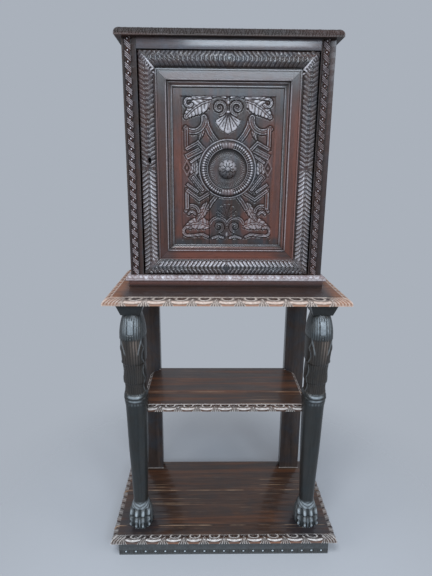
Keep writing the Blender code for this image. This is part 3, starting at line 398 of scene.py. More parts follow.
class Skin:
    """Grids of points sewn into one closed mesh, with how pale (wear and painted highlight), how dark (dirt
    and painted shade) and how warm each point is.
    """

    def __init__(self):
        self.points = []
        self.values = {"wear_and_highlight": [], "dirt_and_shade": [], "warm": []}
        self.faces = []
        self.flats = []
        self.count = 0

    def add(self, points, wear_and_highlight=0.0, dirt_and_shade=0.0, warm=0.0):
        points = np.asarray(points, float)
        shape = points.shape[:-1]
        size = int(np.prod(shape))
        self.points.append(points.reshape(-1, 3))
        # The pale value holds painted highlights as well as wear, and the dark value holds painted shade as
        # well as dirt.
        for word, value in (("wear_and_highlight", wear_and_highlight), ("dirt_and_shade", dirt_and_shade), ("warm", warm)):
            self.values[word].append(np.broadcast_to(value, shape).reshape(-1))
        index = np.arange(size).reshape(shape) + self.count
        self.count += size
        return index

    def sew(self, index, around=False):
        """Four-cornered faces between neighbours in a grid, closed along its rows where it goes around."""
        if around:
            index = np.concatenate((index, index[:, :1]), axis=1)
        corners = (index[:-1, :-1], index[:-1, 1:], index[1:, 1:], index[1:, :-1])
        self.faces += np.stack(corners, axis=-1).reshape(-1, 4).tolist()

    def cap(self, ring):
        """One flat face across a closed ring."""
        self.flats.append(len(self.faces))
        self.faces.append([int(corner) for corner in ring])

    def tube(self, points, *values):
        """Rings of points sewn round and on to each other, with a flat face across the first and the last."""
        index = self.add(points, *values)
        self.sew(index, around=True)
        self.cap(index[0])
        self.cap(index[-1])
        return self

    def back(self, points, index, depth):
        """Straight sides from the rim of a grid to a plane across Y, and the plane itself."""
        rim = outer_loop(index)
        edge = outer_loop(points).copy()
        edge[:, 1] = depth
        base = self.add(edge)
        self.sew(np.stack((rim, base)), around=True)
        self.cap(base)

    def mesh(self, name):
        mesh = bpy.data.meshes.new(name)
        mesh.from_pydata(np.concatenate(self.points).tolist(), [], self.faces)
        for word, values in self.values.items():
            layer = mesh.attributes.new(word, "FLOAT", "POINT")
            layer.data.foreach_set("value", np.concatenate(values).astype(np.float32))
        made = bmesh.new()
        made.from_mesh(mesh)
        bmesh.ops.recalc_face_normals(made, faces=made.faces)
        made.to_mesh(mesh)
        made.free()
        return mesh

    def piece(self, name, finish, slot, body, *stands_for):
        mesh = self.mesh(name)
        mesh.shade_smooth()
        for face in self.flats:
            mesh.polygons[face].use_smooth = False
        mesh.set_sharp_from_angle(angle=math.radians(SHARP))
        mesh.materials.append(finish)
        return placed(name, mesh, slot, body, *stands_for)


def outer_loop(grid):
    """What lies round the rim of a grid, in turn."""
    return np.concatenate((grid[0, :-1], grid[:-1, -1], grid[-1, :0:-1], grid[:0:-1, 0]))


def placed(name, mesh, slot, body, *stands_for):
    """A piece that stands for nodes of the frame and rides on a body."""
    piece = bpy.data.objects.new(name, mesh)
    bpy.context.scene.collection.objects.link(piece)
    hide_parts(*stands_for)
    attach(piece, body)
    return piece


def cut(piece, cutter):
    """Takes a closed cutter mesh out of a piece."""
    tool = bpy.data.objects.new("cutter", cutter)
    bpy.context.scene.collection.objects.link(tool)
    step = piece.modifiers.new("cut", "BOOLEAN")
    step.object = tool
    step.solver = "EXACT"
    bpy.context.view_layer.update()
    whole = piece.evaluated_get(bpy.context.evaluated_depsgraph_get())
    mesh = bpy.data.meshes.new_from_object(whole)
    piece.modifiers.remove(step)
    piece.data = mesh
    bpy.data.objects.remove(tool)


def box_mesh(low, high):
    low = Vector(low)
    high = Vector(high)
    made = bmesh.new()
    size = Matrix.Diagonal((*(high - low), 1.0))
    bmesh.ops.create_cube(made, size=1.0, matrix=Matrix.Translation((low + high) / 2) @ size)
    mesh = bpy.data.meshes.new("box")
    made.to_mesh(mesh)
    made.free()
    return mesh


def eased(node, finish, slot, body, width=0.0012):
    """A plain piece of the frame with its arrises rounded off by use."""
    mesh = nodes[node].data.copy()
    made = bmesh.new()
    made.from_mesh(mesh)
    bmesh.ops.remove_doubles(made, verts=made.verts, dist=0.00001)
    bmesh.ops.dissolve_limit(made, angle_limit=0.01, verts=made.verts, edges=made.edges)
    sharp = [edge for edge in made.edges if edge.calc_face_angle(0.0) > 0.4]
    round_off = {"offset": width, "segments": 2, "profile": 0.6, "affect": "EDGES", "clamp_overlap": True}
    bmesh.ops.bevel(made, geom=sharp, **round_off)
    made.to_mesh(mesh)
    made.free()
    mesh.shade_smooth()
    mesh.set_sharp_from_angle(angle=math.radians(SHARP))
    mesh.materials.clear()
    mesh.materials.append(finish)
    return placed(node + "_eased", mesh, slot, body, node)


# Carved patterns: heights from 0 at full depth to 1 at the surface; on the boards, also how bare the wood is


def eyes(along, up, pitch, ground=0.26, thick=0.12, bare=0.9, blush=0.0):
    """Dark eyes hung from the edge, each over a crescent and a bare bar, with leaves of strokes between."""
    across = repeat(along, pitch)
    down = 1.0 - up
    out = np.hypot(across / 0.22, (down - 0.15) / 0.21)
    height = np.where(out < 0.88, 0.02 + 0.30 * dome(out / 0.45), ground)
    height = np.maximum(height, 0.84 * dome((out - 1.10) / 0.24))
    middle = np.abs(across)
    within = 1.0 - ease(0.34, 0.41, middle)
    sag = down + 0.9 * middle * middle - 0.64
    crescent = within * np.minimum(1.0, 1.4 * dome(sag / (thick - 0.30 * middle * middle)))
    height = np.maximum(height, crescent)
    bar = within * ease(0.77, 0.83, down)
    height = np.maximum(height, 0.45 * bar)
    aside = 0.5 - middle
    half = 0.015 + 0.24 * np.clip((down - 0.20) / 0.80, 0.0, 1.0)
    strokes = dome(repeat(np.arctan2(2.2 * aside, down - 0.08), 0.26) / 0.36)
    leaf = (aside < half) * (down > 0.20)
    height = np.where(leaf, ground - 0.10 + 0.68 * strokes, height)
    arch = dome((down - 0.10 - 0.75 * aside) / 0.075) * (aside < 0.19)
    height = height * (1.0 - 0.9 * arch)
    height = np.maximum(height, 0.84 * ease(0.91, 0.94, up))
    return height, np.where(leaf, 0.0, np.maximum(bare * bar, blush * crescent))


def lunettes(along, up, pitch):
    """Eyes that reach further down the edge, with more bare wood."""
    return eyes(along, 1.0 - (1.0 - up) ** 1.5, pitch, 0.42, 0.16, 1.3, 0.8)


def dark_lunettes(along, up, pitch):
    """Eyes that reach a little further down the edge, with dark bars."""
    return eyes(along, 1.0 - (1.0 - up) ** 1.3, pitch, 0.32, 0.16, 0.15, 0.35)


def rope(along, up, pitch):
    """Slanting leaf strokes along an edge."""
    strokes = repeat(along + up * pitch * 0.7, pitch)
    fine = repeat(along + up * pitch * 0.7, pitch / 3.0)
    height = 0.15 + 0.85 * dome(strokes / 0.42) * (0.78 + 0.22 * np.cos(fine * TAU))
    border = np.maximum(ease(0.92, 0.98, up), 0.8 * (1.0 - ease(0.04, 0.12, up)))
    return np.maximum(height, border), 0.0 * height


def leaf_run(along, up, pitch):
    """Small leaves and pearls in turn along a moulding."""
    across = repeat(along, pitch)
    pearl = dome(np.hypot(across / 0.15, (up - 0.52) / 0.30))
    aside = 0.5 - np.abs(across)
    lobe = dome(np.hypot((aside - 0.02) / 0.20, (up - 0.34 - 0.5 * aside) / 0.34))
    curl = dome(np.hypot((aside - 0.20) / 0.11, (up - 0.72) / 0.24))
    height = 0.18 + 0.82 * np.maximum(np.maximum(pearl, lobe), 0.9 * curl)
    border = np.maximum(0.75 * ease(0.94, 0.99, up), 0.5 * (1.0 - ease(0.03, 0.10, up)))
    return np.maximum(height, border)


def spray(along, up, pitch):
    """Narrow leaves that lean away from stems along an edge."""
    across = repeat(along, pitch)
    lean = np.abs(across) * pitch - 0.011 * up
    strokes = dome(repeat(lean, pitch / 5.0) / 0.46)
    stem = dome(across / 0.05) * ease(0.15, 0.3, up)
    height = 0.08 + 0.92 * np.maximum(strokes * (0.70 + 0.30 * np.cos(lean / pitch * TAU * 15.0)), stem)
    border = np.maximum(ease(0.92, 0.97, up), 0.75 * (1.0 - ease(0.05, 0.12, up)))
    return np.maximum(height, border), 0.0 * height


def twist(along, across, pitch):
    """A ridged ribbon that winds between pearls; across runs from -1 to 1 over the band."""
    turn = repeat(along / pitch + 0.27 * across - 0.5, 1.0)
    ridges = 0.66 + 0.34 * np.cos(turn / 0.27 * TAU * 1.5)
    ribbon = np.minimum(1.0, 1.6 * dome(turn / 0.28)) * ridges
    out = np.hypot(repeat(along / pitch + 0.10 * across, 1.0) * pitch / 0.0085, across / 0.80)
    ring = dome((out - 0.80) / 0.20) * ease(-0.75, -0.35, across)
    pearl = dome(out / 0.46)
    height = np.maximum(np.maximum(0.95 * ribbon, 0.8 * ring), pearl)
    height = np.where(out < 0.58, np.maximum(pearl, 0.02), height)
    return (0.06 + 0.94 * height) * (1.0 - ease(0.93, 1.0, np.abs(across)))


def laurel(along, way, half, word):
    """Leaves that meet in arrows along a torus, with pearls, and bands at its middle and mitres; and how pale
    each point is, from wear and from painted light.
    """
    pitch = 0.0128
    upright = word in SIDES
    inward = TORUS_WIDTH / 2 * (1.0 - np.cos(way * math.pi))
    aside = np.abs(np.cos(way * math.pi))
    from_middle = np.abs(along)
    slope = -0.0145 if upright else 0.0145
    run = (from_middle + slope * aside) / pitch
    share = run - np.floor(run)
    if upright:
        share = 1.0 - share
    leaf = ease(0.0, 0.14, share) * (1.0 - 0.90 * ease(0.40, 0.95, share))
    leaf *= 1.0 - 0.50 * dome((share - 0.42) / 0.10) * ease(0.25, 0.45, aside)
    leaf *= ease(0.07, 0.24, aside) * (1.0 - 0.5 * ease(0.90, 0.98, aside))
    beads = dome(np.hypot(repeat(from_middle, pitch) / 0.36, aside / 0.17))
    height = np.maximum(0.20 + 0.80 * leaf, 0.78 * beads)
    height = np.where(from_middle < 0.005, 0.56 + 0.20 * np.cos(from_middle / 0.005 * TAU * 1.5), height)
    height = np.maximum(height, 0.60 * (1.0 - ease(0.02, 0.07, way)))
    to_mitre = half - from_middle - inward
    lines = 0.30 + 0.45 * dome(repeat(to_mitre, 0.0036) / 0.5)
    bars = 0.04 + 0.96 * dome(repeat((2.0 * inward + to_mitre) / math.sqrt(2.0), 0.0083) / 0.34)
    bound = np.where(to_mitre < 0.0040, 0.85, bars)
    hatched = upright * (along > 0.0)
    at_mitre = to_mitre < np.where(hatched, 0.0165, 0.0100)
    height = np.where(at_mitre, np.where(hatched, bound, lines), height)
    # Painted light: the bottom member paler on its upper half, the top member darker on its lower half, the
    # sides paler towards their lower ends and on their inner half.
    lit = {
        "bottom": 1.85 * (0.25 + 0.75 * ease(0.36, 0.58, way)),
        "top": 0.42 - 0.28 * ease(0.45, 0.68, way),
    }
    painted_light_share = 0.52 + 1.18 * ease(0.05, -0.05, along)
    most = lit.get(word, painted_light_share * (0.55 + 0.45 * ease(0.35, 0.62, way)))
    most = most * (0.80 + 0.20 * np.sin(12.9 * np.floor(run)))
    return height, np.where(hatched * at_mitre, 1.35 * ease(0.12, 0.45, way), most)


def pale_crests_and_dark_hollows(height, most=1.0, start=0.62):
    """Pale crests, from wear and painted highlight, and dark hollows, from dirt and painted shade, that a
    carved height leaves.
    """
    return most * ease(start, 1.0, height), 1.0 - ease(0.02, 0.42, height)


def edge_profile(edge, lip, thickness, steps=24):
    """Inset, rise and way up of a rounded edge above a small lip, from the underside to the top."""
    angle = np.linspace(0.0, math.pi / 2, steps)
    inset = np.concatenate(([0.0, 0.0], edge * (1.0 - np.cos(angle))))
    rise = np.concatenate(([0.0, lip / 2], lip + (thickness - lip) * np.sin(angle)))
    run = np.concatenate(([0.0], np.cumsum(np.hypot(np.diff(inset), np.diff(rise)))))
    return inset, rise, run / run[-1]


def outline(low, high, carved):
    """Plan of a rectangular board: a function from inset to points, and what each column carries."""
    left, front, right, back = low.x, low.y, high.x, high.y
    sides = (
        ("front", (0, 0), (1, 0), (0.0, -1.0)),
        ("right", (1, 0), (1, 1), (1.0, 0.0)),
        ("back", (1, 1), (0, 1), (0.0, 1.0)),
        ("left", (0, 1), (0, 0), (-1.0, 0.0)),
    )
    corners = []
    outward = []
    amount = []
    for word, start, end, normal in sides:
        length = right - left if start[1] == end[1] else back - front
        count = int(length / EDGE_STEP) if word in carved else 1
        share = np.arange(count) / count
        across = start[0] + (end[0] - start[0]) * share
        along = start[1] + (end[1] - start[1]) * share
        corners.append(np.stack((across, along), axis=-1))
        outward.append(np.tile(normal, (count, 1)))
        amount.append(np.full(count, 1.0 if word in carved else 0.0))
    corners = np.concatenate(corners)
    outward = np.concatenate(outward)
    amount = np.concatenate(amount)

    def plan(inset):
        near_x = left + inset * ("left" in carved)
        far_x = right - inset * ("right" in carved)
        near_y = front + inset * ("front" in carved)
        far_y = back - inset * ("back" in carved)
        x = near_x + corners[:, 0] * (far_x - near_x)
        y = near_y + corners[:, 1] * (far_y - near_y)
        return np.stack((x, y), axis=-1)

    return plan, outward, amount


def carved_board(node, plan, outward, amount, edge, motif, depth, finish, slot, wear, beside=1.0):
    """A board with a carved and moulded edge inside the frame's own board; beside scales how pale the crests
    at its ends are.
    """
    low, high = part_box(node)
    inset, rise, up = edge_profile(*edge, high.z - low.z)
    flat = np.stack([plan(distance) for distance in inset])
    slope = np.hypot(np.gradient(inset), np.gradient(rise))
    out = np.gradient(rise) / slope
    lift = np.gradient(inset) / slope
    base = flat[0]
    height, warm = motif(base, outward, np.broadcast_to(up[:, None], flat.shape[:2]))
    height = 1.0 - (1.0 - height) * amount
    wear_and_highlight, dirt_and_shade = pale_crests_and_dark_hollows(height, *wear)
    wear_and_highlight = wear_and_highlight * np.where(np.abs(outward[:, 0]) > 0.5, beside, 1.0)
    carved = amount * (1.0 - ease(0.91, 0.98, up))[:, None]
    sunk = depth * (1.0 - height)
    points = np.zeros((*flat.shape[:2], 3))
    points[..., :2] = flat - (sunk * out[:, None])[..., None] * outward
    points[..., 2] = low.z + rise[:, None] - sunk * lift[:, None]
    skin = Skin().tube(points, wear_and_highlight * carved, dirt_and_shade * carved, warm * carved)
    return skin.piece(node + "_carved", finish, slot, "root", node)


def edge_motif(board, front_count, side_pattern, side_pitch, block=0.0, front_pattern=lunettes, lift=0.0):
    """A pattern along a board's front between two slanting corner leaves, and one on the two ends."""
    low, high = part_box(board)
    half_width = high.x
    front_pitch = 2.0 * (half_width - block) / front_count

    def motif(base, outward, up):
        start = front_pitch * (front_count + 1) / 2
        along_front, front_warm = front_pattern(base[:, 0] + start, up, front_pitch)
        along_side, side_warm = side_pattern(base[:, 1], up, side_pitch)
        corner = rope(np.abs(base[:, 0]), up, 0.0095)[0]
        inside = np.abs(base[:, 0]) < half_width - block
        front = np.where(inside, along_front, 0.86 * corner)
        is_front = outward[:, 1] < -0.5
        height = np.where(is_front, front, along_side)
        warm = np.where(is_front, front_warm * inside, side_warm)
        to_corner = np.where(is_front, half_width - np.abs(base[:, 0]), base[:, 1] - low.y)
        return 1.0 - (1.0 - lift) * (1.0 - height) * ease(0.0, 0.004, to_corner), warm

    return motif


def carve_boards(boards, edge, motif, depth, finish, slot, wear, beside=1.0):
    """Boards of one level; the first has its front edge carved too, and the crests at the ends may be less
    pale.
    """
    for order, node in enumerate(boards):
        sides = SIDES if order else (*SIDES, "front")
        shape = outline(*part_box(node), sides)
        carved_board(node, *shape, edge, motif, depth, finish, slot, wear, beside)


def carve_levels():
    """Base, stand top and cabinet top, each with the repeats along its front and the pitch along its ends."""
    base = ("base_front_board", "base_middle_board", "base_rear_board")
    motif = edge_motif(base[0], 10, rope, 0.030, 0.036, front_pattern=eyes, lift=0.08)
    carve_boards(base, BASE_EDGE, motif, 0.0042, base_oak, "brown_oak", (1.10, 0.37), 0.50)
    top = ("top_front_board", "top_rear_board")
    motif = edge_motif(top[0], 9, lunettes, 0.0728, 0.051, lift=0.38)
    carve_boards(top, TOP_EDGE, motif, 0.0042, slab_oak, "black_oak", (0.88, 0.45))
    motif = edge_motif("cabinet_top", 17, spray, 0.0373, front_pattern=spray)
    carve_boards(("cabinet_top",), CORNICE_EDGE, motif, 0.0040, cornice_oak, "black_oak", (0.16, 0.72))


def rear_shelf_outline():
    """Plan of the shelf's rear board: carved ends, round corners, then a plain tongue between the posts."""
    low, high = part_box("shelf_rear_board")
    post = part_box("right_post")[0]
    tongue = post.x + 0.006 - SEAT
    radius = high.x - tongue
    corner = post.y - SEAT - radius
    straight = np.arange(low.y, corner, EDGE_STEP)
    angles = np.linspace(0.0, math.pi / 2, 28)
    centre_x = np.concatenate((np.full(len(straight), tongue), np.full(len(angles), tongue), [tongue]))
    centre_y = np.concatenate((straight, np.full(len(angles), corner), [high.y]))
    turn_x = np.concatenate((np.ones(len(straight)), np.cos(angles), [0.0]))
    turn_y = np.concatenate((np.zeros(len(straight)), np.sin(angles), [0.0]))
    amount = np.concatenate((np.ones(len(straight) + len(angles)), [0.0]))
    along = np.concatenate((straight, corner + angles * radius, [0.0]))

    def both(values, sign):
        return np.concatenate((values, sign * values[::-1]))

    def plan(inset):
        reach = radius - inset
        return np.stack((both(centre_x + turn_x * reach, -1), both(centre_y + turn_y * reach, 1)), axis=-1)

    outward = np.stack((both(turn_x, -1), both(turn_y, 1)), axis=-1)
    return plan, outward, both(amount, 1), both(along, 1)


# Legs


def through(stations, shares):
    """Values at the given shares, on smooth curves through the stations that don't overshoot them."""
    table = np.array(stations)
    at = table[:, 0]
    values = table[:, 1:]
    step = np.diff(at)[:, None]
    rise = np.diff(values, axis=0) / step
    alike = rise[:-1] * rise[1:] > 0.0
    total = np.where(alike, rise[:-1] + rise[1:], 1.0)
    slope = np.concatenate((rise[:1], np.where(alike, 2.0 * rise[:-1] * rise[1:] / total, 0.0), rise[-1:]))
    place = np.clip(np.searchsorted(at, shares) - 1, 0, len(at) - 2)
    way = ((shares - at[place]) / step[place, 0])[:, None]
    lower = values[place] * (1.0 + 2.0 * way) + slope[place] * step[place] * way
    upper = values[place + 1] * (3.0 - 2.0 * way) + slope[place + 1] * step[place] * (way - 1.0)
    return lower * (1.0 - way) ** 2 + upper * way * way


def leg_grid(shares, columns):
    """A leg's plain form round its own axis: plan, outward directions, and the way round from the front."""
    angle = np.linspace(0.0, TAU, 721) - math.pi / 2
    across = np.sign(np.cos(angle)) * np.abs(np.cos(angle)) ** (2.0 / LEG_SQUARENESS)
    along = np.sign(np.sin(angle)) * np.abs(np.sin(angle)) ** (2.0 / LEG_SQUARENESS)
    plan = []
    around = []
    for half_width, forward, backward in through(LEG_STATIONS, shares):
        x = across * half_width
        y = (backward - forward) / 2 + along * (backward + forward) / 2
        run = np.concatenate(([0.0], np.cumsum(np.hypot(np.diff(x), np.diff(y)))))
        turn = np.arange(columns) / columns
        even = (turn - 0.30 * np.sin(TAU * turn) / TAU) * run[-1]
        plan.append(np.stack((np.interp(even, run, x), np.interp(even, run, y)), axis=-1))
        around.append(np.where(even > run[-1] / 2, even - run[-1], even))
    plan = np.array(plan)
    tangent = np.roll(plan, -1, axis=1) - np.roll(plan, 1, axis=1)
    outward = np.stack((tangent[..., 1], -tangent[..., 0]), axis=-1)
    outward /= np.linalg.norm(outward, axis=-1, keepdims=True)
    return plan, outward, np.array(around)


LEG_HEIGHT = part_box("left_leg_cap")[0].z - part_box("base_middle_board")[1].z - 2.0 * SEAT
LEG_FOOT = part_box("base_middle_board")[1].z + SEAT
TOE_PITCH = 0.0225
REED_PITCH = 0.0076


def leg_levels():
    """Every level of a leg as a share of its height: paw, middle of the shaft, collar, leaf and knee."""
    paw = [(rise / LEG_HEIGHT, *sizes) for rise, *sizes in PAW]
    knee = [(1.0 - drop / LEG_HEIGHT, *sizes) for drop, *sizes in KNEE]
    return paw + [((paw[-1][0] + knee[0][0]) / 2, *SHAFT_MIDDLE)] + knee


LEG_STATIONS = leg_levels()


def leg_axis(side):
    """Where the line stands that a leg's stations are measured from."""
    low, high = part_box(side + "_leg")
    return np.array(((low.x + high.x) / 2, low.y + max(station[2] for station in LEG_STATIONS)))


def knee_carving(share, arc):
    """Reeds round a plain tab at the knee, and a leaf with long veins below them."""
    reed = dome(repeat(arc, REED_PITCH) / 0.5)
    ends = 0.902 + 0.012 * (2.0 * repeat(arc, REED_PITCH)) ** 2
    knee = ease(ends, ends + 0.006, share) * (1.0 - ease(0.982, 0.995, share))
    vein_pitch = 0.0062 + 0.0022 * ease(0.65, 0.86, share)
    vein = dome(repeat(arc, vein_pitch) / 0.5)
    leaf = ease(0.650, 0.656, share) * (1.0 - ease(ends - 0.004, ends, share))
    edge = 0.046 - 0.010 * np.abs(np.sin(math.pi * (share - 0.650) / 0.072))
    outside = ease(edge, edge + 0.002, np.abs(arc))
    rise = -0.0017 * (1.0 - reed) * knee
    rise -= leaf * (0.0006 + 0.0021 * (1.0 - vein) * (1.0 - 0.6 * outside) + 0.0024 * outside)
    rim = dome((np.abs(arc) - edge + 0.0022) / 0.0026) * leaf
    rise += 0.0016 * rim
    lobe_at = 0.016 + 0.019 * np.clip((share - 0.800) / 0.105, 0.0, 1.0) ** 1.6
    lobe = dome((np.abs(arc) - lobe_at) / 0.0030)
    lobe = lobe * ease(0.832, 0.85, share) * (1.0 - ease(0.895, 0.91, share))
    rise = np.maximum(rise, -0.0019 + 0.0030 * lobe)
    to_tab = np.maximum(np.abs(arc) - 0.0085, LEG_HEIGHT * (np.abs(share - 0.952) - 0.026))
    rise = np.where(to_tab < 0.0013, np.where(to_tab < 0.0, 0.0002, -0.0019), rise)
    arch = np.hypot(arc, LEG_HEIGHT * (share - 0.905))
    rise -= 0.0014 * dome((arch - 0.0062) / 0.0014) * (share > 0.905)
    # Painted highlight: the reeds pale towards the top and the middle of the knee's front, and the tab paler
    # towards its top.
    high = ease(0.915, 0.945, share)
    front = 1.0 - ease(0.016, 0.034, np.abs(arc))
    bright = np.maximum(0.34 * lobe, np.maximum(0.16 * rim, (0.12 + 0.38 * front * high) * reed ** 3 * knee))
    unlike = 0.5 + 0.5 * np.sin(7.3 * np.round(arc / vein_pitch))
    streak = ease(0.76, 0.89, share) * unlike * front * leaf * vein ** 3
    bright = np.maximum(bright, 0.16 * streak)
    return rise, np.where(to_tab < 0.0, 0.34 + 0.22 * high, bright), 0.22 * leaf + 1.3 * streak


def collar_carving(share, arc):
    """Two crescents across the front, with small scallops under them."""
    sag = 0.011 * (arc / 0.035) ** 2
    upper = dome((share - 0.640 - sag) / 0.0075)
    lower = dome((share - 0.622 - 0.7 * sag) / 0.0060)
    near = 1.0 - ease(0.034, 0.050, np.abs(arc))
    crest = np.maximum(upper, 0.9 * lower) * near
    scallop = dome(repeat(arc, 0.0098) / 0.5) * dome((share - 0.606) / 0.010)
    # Only the crests near the middle of the front are pale: a painted highlight.
    middle = 1.0 - ease(0.010, 0.026, np.abs(arc))
    return 0.0022 * crest + 0.0011 * scallop, middle * np.maximum(0.75 * crest ** 3, 0.2 * scallop ** 3), 0.0


def paw_carving(share, arc):
    """Toes with a knuckle, a crease and a claw, a ridge between the middle two, and folds of skin above."""
    height = share * LEG_HEIGHT
    near = 1.0 - ease(0.046, 0.056, np.abs(arc))
    from_toe = repeat(arc - TOE_PITCH / 2, TOE_PITCH)
    toe = 0.5 + 0.5 * np.cos(from_toe * TAU)
    foot = 1.0 - ease(0.062, 0.070, height)
    knuckle = dome((height - 0.0540) / 0.0100) * toe
    last = dome((height - 0.0270) / 0.0150) * toe
    crease = dome((height - 0.0425) / 0.0045)
    rise = foot * near * (0.0032 * np.maximum(knuckle, last) - 0.0046 * (1.0 - toe) ** 1.6 - 0.0026 * crease)
    bed = np.hypot(from_toe * TOE_PITCH / 0.0066, (height - 0.0145) / 0.0125)
    claw = dome(bed / 0.60) * near
    rise -= 0.0034 * near * dome((bed - 0.92) / 0.36)
    rise += 0.0024 * claw
    ridge = dome(arc / 0.0024) * (1.0 - ease(0.034, 0.040, height))
    rim = dome((height - 0.0015) / 0.0028) * near
    rise += 0.0030 * ridge
    fold = height - 0.066 - 0.45 * np.abs(arc)
    ankle = ease(0.062, 0.068, height) * (1.0 - ease(0.080, 0.092, height)) * near
    skin_fold = dome(repeat(fold, 0.0105) / 0.5)
    rise -= 0.0018 * ankle * (1.0 - skin_fold)
    crests = foot * near * np.maximum(0.8 * knuckle ** 2, 0.65 * last ** 2 * ease(0.022, 0.032, height))
    crests = np.maximum(crests, 0.14 * foot)
    crests = np.maximum(np.maximum(crests, claw), 0.55 * np.maximum(ridge, rim))
    return rise, 1.30 * np.maximum(crests, 0.50 * ankle * skin_fold ** 2), 0.0


def carve_leg(side):
    """A leg's plain form with its carvings raised on it and cut into it."""
    shares = np.concatenate((
        np.linspace(0.0, 0.130, 64),
        np.linspace(0.150, 0.560, 14),
        np.linspace(0.585, 1.0, 168),
    ))
    plan, outward, arc = leg_grid(shares, 176)
    share = np.broadcast_to(shares[:, None], arc.shape)
    rise = np.zeros(arc.shape)
    bright = np.zeros(arc.shape)
    brown = np.zeros(arc.shape)
    for carving in (knee_carving, collar_carving, paw_carving):
        more, crests, bare = carving(share, arc)
        rise += more
        bright = np.maximum(bright, crests)
        brown += bare
    dirt_and_shade = ease(0.0006, 0.0030, -rise)
    points = np.zeros((*arc.shape, 3))
    points[..., :2] = plan + rise[..., None] * outward + leg_axis(side)
    points[..., 2] = LEG_FOOT + share * LEG_HEIGHT
    skin = Skin().tube(points, bright, 0.8 * dirt_and_shade, brown)
    skin.piece(side + "_leg_carved", leg_oak, "green_black_oak", "root", side + "_leg")


def leg_notch(side, low_z, high_z):
    """What a leg takes out of the shelf, with a small gap all round."""
    levels = np.linspace(low_z, high_z, 5)
    plan, outward, arc = leg_grid((levels - LEG_FOOT) / LEG_HEIGHT, 96)
    points = np.zeros((*arc.shape, 3))
    points[..., :2] = plan + 2.0 * SEAT * outward + leg_axis(side)
    points[..., 2] = levels[:, None]
    return Skin().tube(points).mesh("leg_notch")


# Shelf: pitch of the carving on its edge; depth, finish, slot, and the paleness of the crests of that carving
SHELF_PITCH = 0.0605
SHELF_LOOK = (0.0040, shelf_oak, "brown_oak", (1.05, 0.40))


def carve_shelf():
    """The front board, notched round the legs, and the rear board, whose ends turn in to the posts."""
    node = "shelf_front_board"
    low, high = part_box(node)
    motif = edge_motif(node, 9, dark_lunettes, SHELF_PITCH, front_pattern=dark_lunettes)
    front = carved_board(node, *outline(low, high, (*SIDES, "front")), SHELF_EDGE, motif, *SHELF_LOOK)
    for side in SIDES:
        cut(front, leg_notch(side, low.z - 0.01, high.z + 0.01))
    plan, outward, amount, along = rear_shelf_outline()

    def round_the_corners(base, outward, up):
        return dark_lunettes(along, up, SHELF_PITCH)

    carved_board("shelf_rear_board", plan, outward, amount, SHELF_EDGE, round_the_corners, *SHELF_LOOK)


carve_levels()
for side in SIDES:
    carve_leg(side)
carve_shelf()


# Mouldings, stiles and door members: a section drawn along a straight run


class Run:
    """A straight run of moulding: its middle, its direction, and the two directions of its section."""

    def __init__(self, middle, along, across, out, length, start=0.0, end=0.0):
        self.middle = np.array(middle)
        self.along = np.array(along, float)
        self.across = np.array(across, float)
        self.out = np.array(out, float)
        self.length = length
        self.start = start
        self.end = end

    def place(self, across, share):
        """Way along the run from its middle; the ends lean with the way across, for mitres."""
        first = -self.length / 2 + self.start * across
        last = self.length / 2 + self.end * across
        return first + (last - first) * share

    def points(self, along, across, out):
        spread = along[..., None] * self.along + across[..., None] * self.across
        return self.middle + spread + out[..., None] * self.out


def carved_bar(
    name, node, run, section, tints, carved, carve, depth, finish, slot, body,
    step=0.0019, start=0.62, fade=None,
):
    """A closed section along a run, with how pale (wear and painted highlight), how dark (dirt and painted
    shade) and how warm each row is; carved rows are cut in.
    """
    section = np.array(section)
    share = np.linspace(0.0, 1.0, max(2, int(run.length / step)))
    across = np.repeat(section[:, :1], len(share), axis=1)
    out = np.repeat(section[:, 1:], len(share), axis=1)
    tints = np.broadcast_to(tints, (len(section), 3))
    wear_and_highlight, dirt_and_shade, warm = (np.repeat(tints[:, column:column + 1], len(share), axis=1) for column in range(3))
    if fade is not None:
        warm = warm * fade(run.place(across, share))
        # The rows at the back of the section, along the door's edges, are darkened.
        dirt_and_shade[:, (0, -1)] = 0.7
    if carve is not None:
        rows = slice(*carved)
        turn = np.gradient(section[rows], axis=0)
        turn /= np.linalg.norm(turn, axis=1, keepdims=True)
        run_of = np.concatenate(([0.0], np.cumsum(np.linalg.norm(np.diff(section[rows], axis=0), axis=1))))
        way = np.broadcast_to((run_of / run_of[-1])[:, None], across[rows].shape)
        height, most = carve(run.place(across[rows], share), way)
        sunk = depth * (1.0 - height)
        across[rows] += sunk * turn[:, 1:]
        out[rows] -= sunk * turn[:, :1]
        wear_and_highlight[rows], dirt_and_shade[rows] = pale_crests_and_dark_hollows(height, most, start)
    skin = Skin()
    index = skin.add(run.points(run.place(across, share), across, out), wear_and_highlight, dirt_and_shade, warm)
    skin.sew(np.concatenate((index, index[:1])))
    skin.cap(index[:, 0])
    skin.cap(index[:, -1])
    return skin.piece(name, finish, slot, body, node)


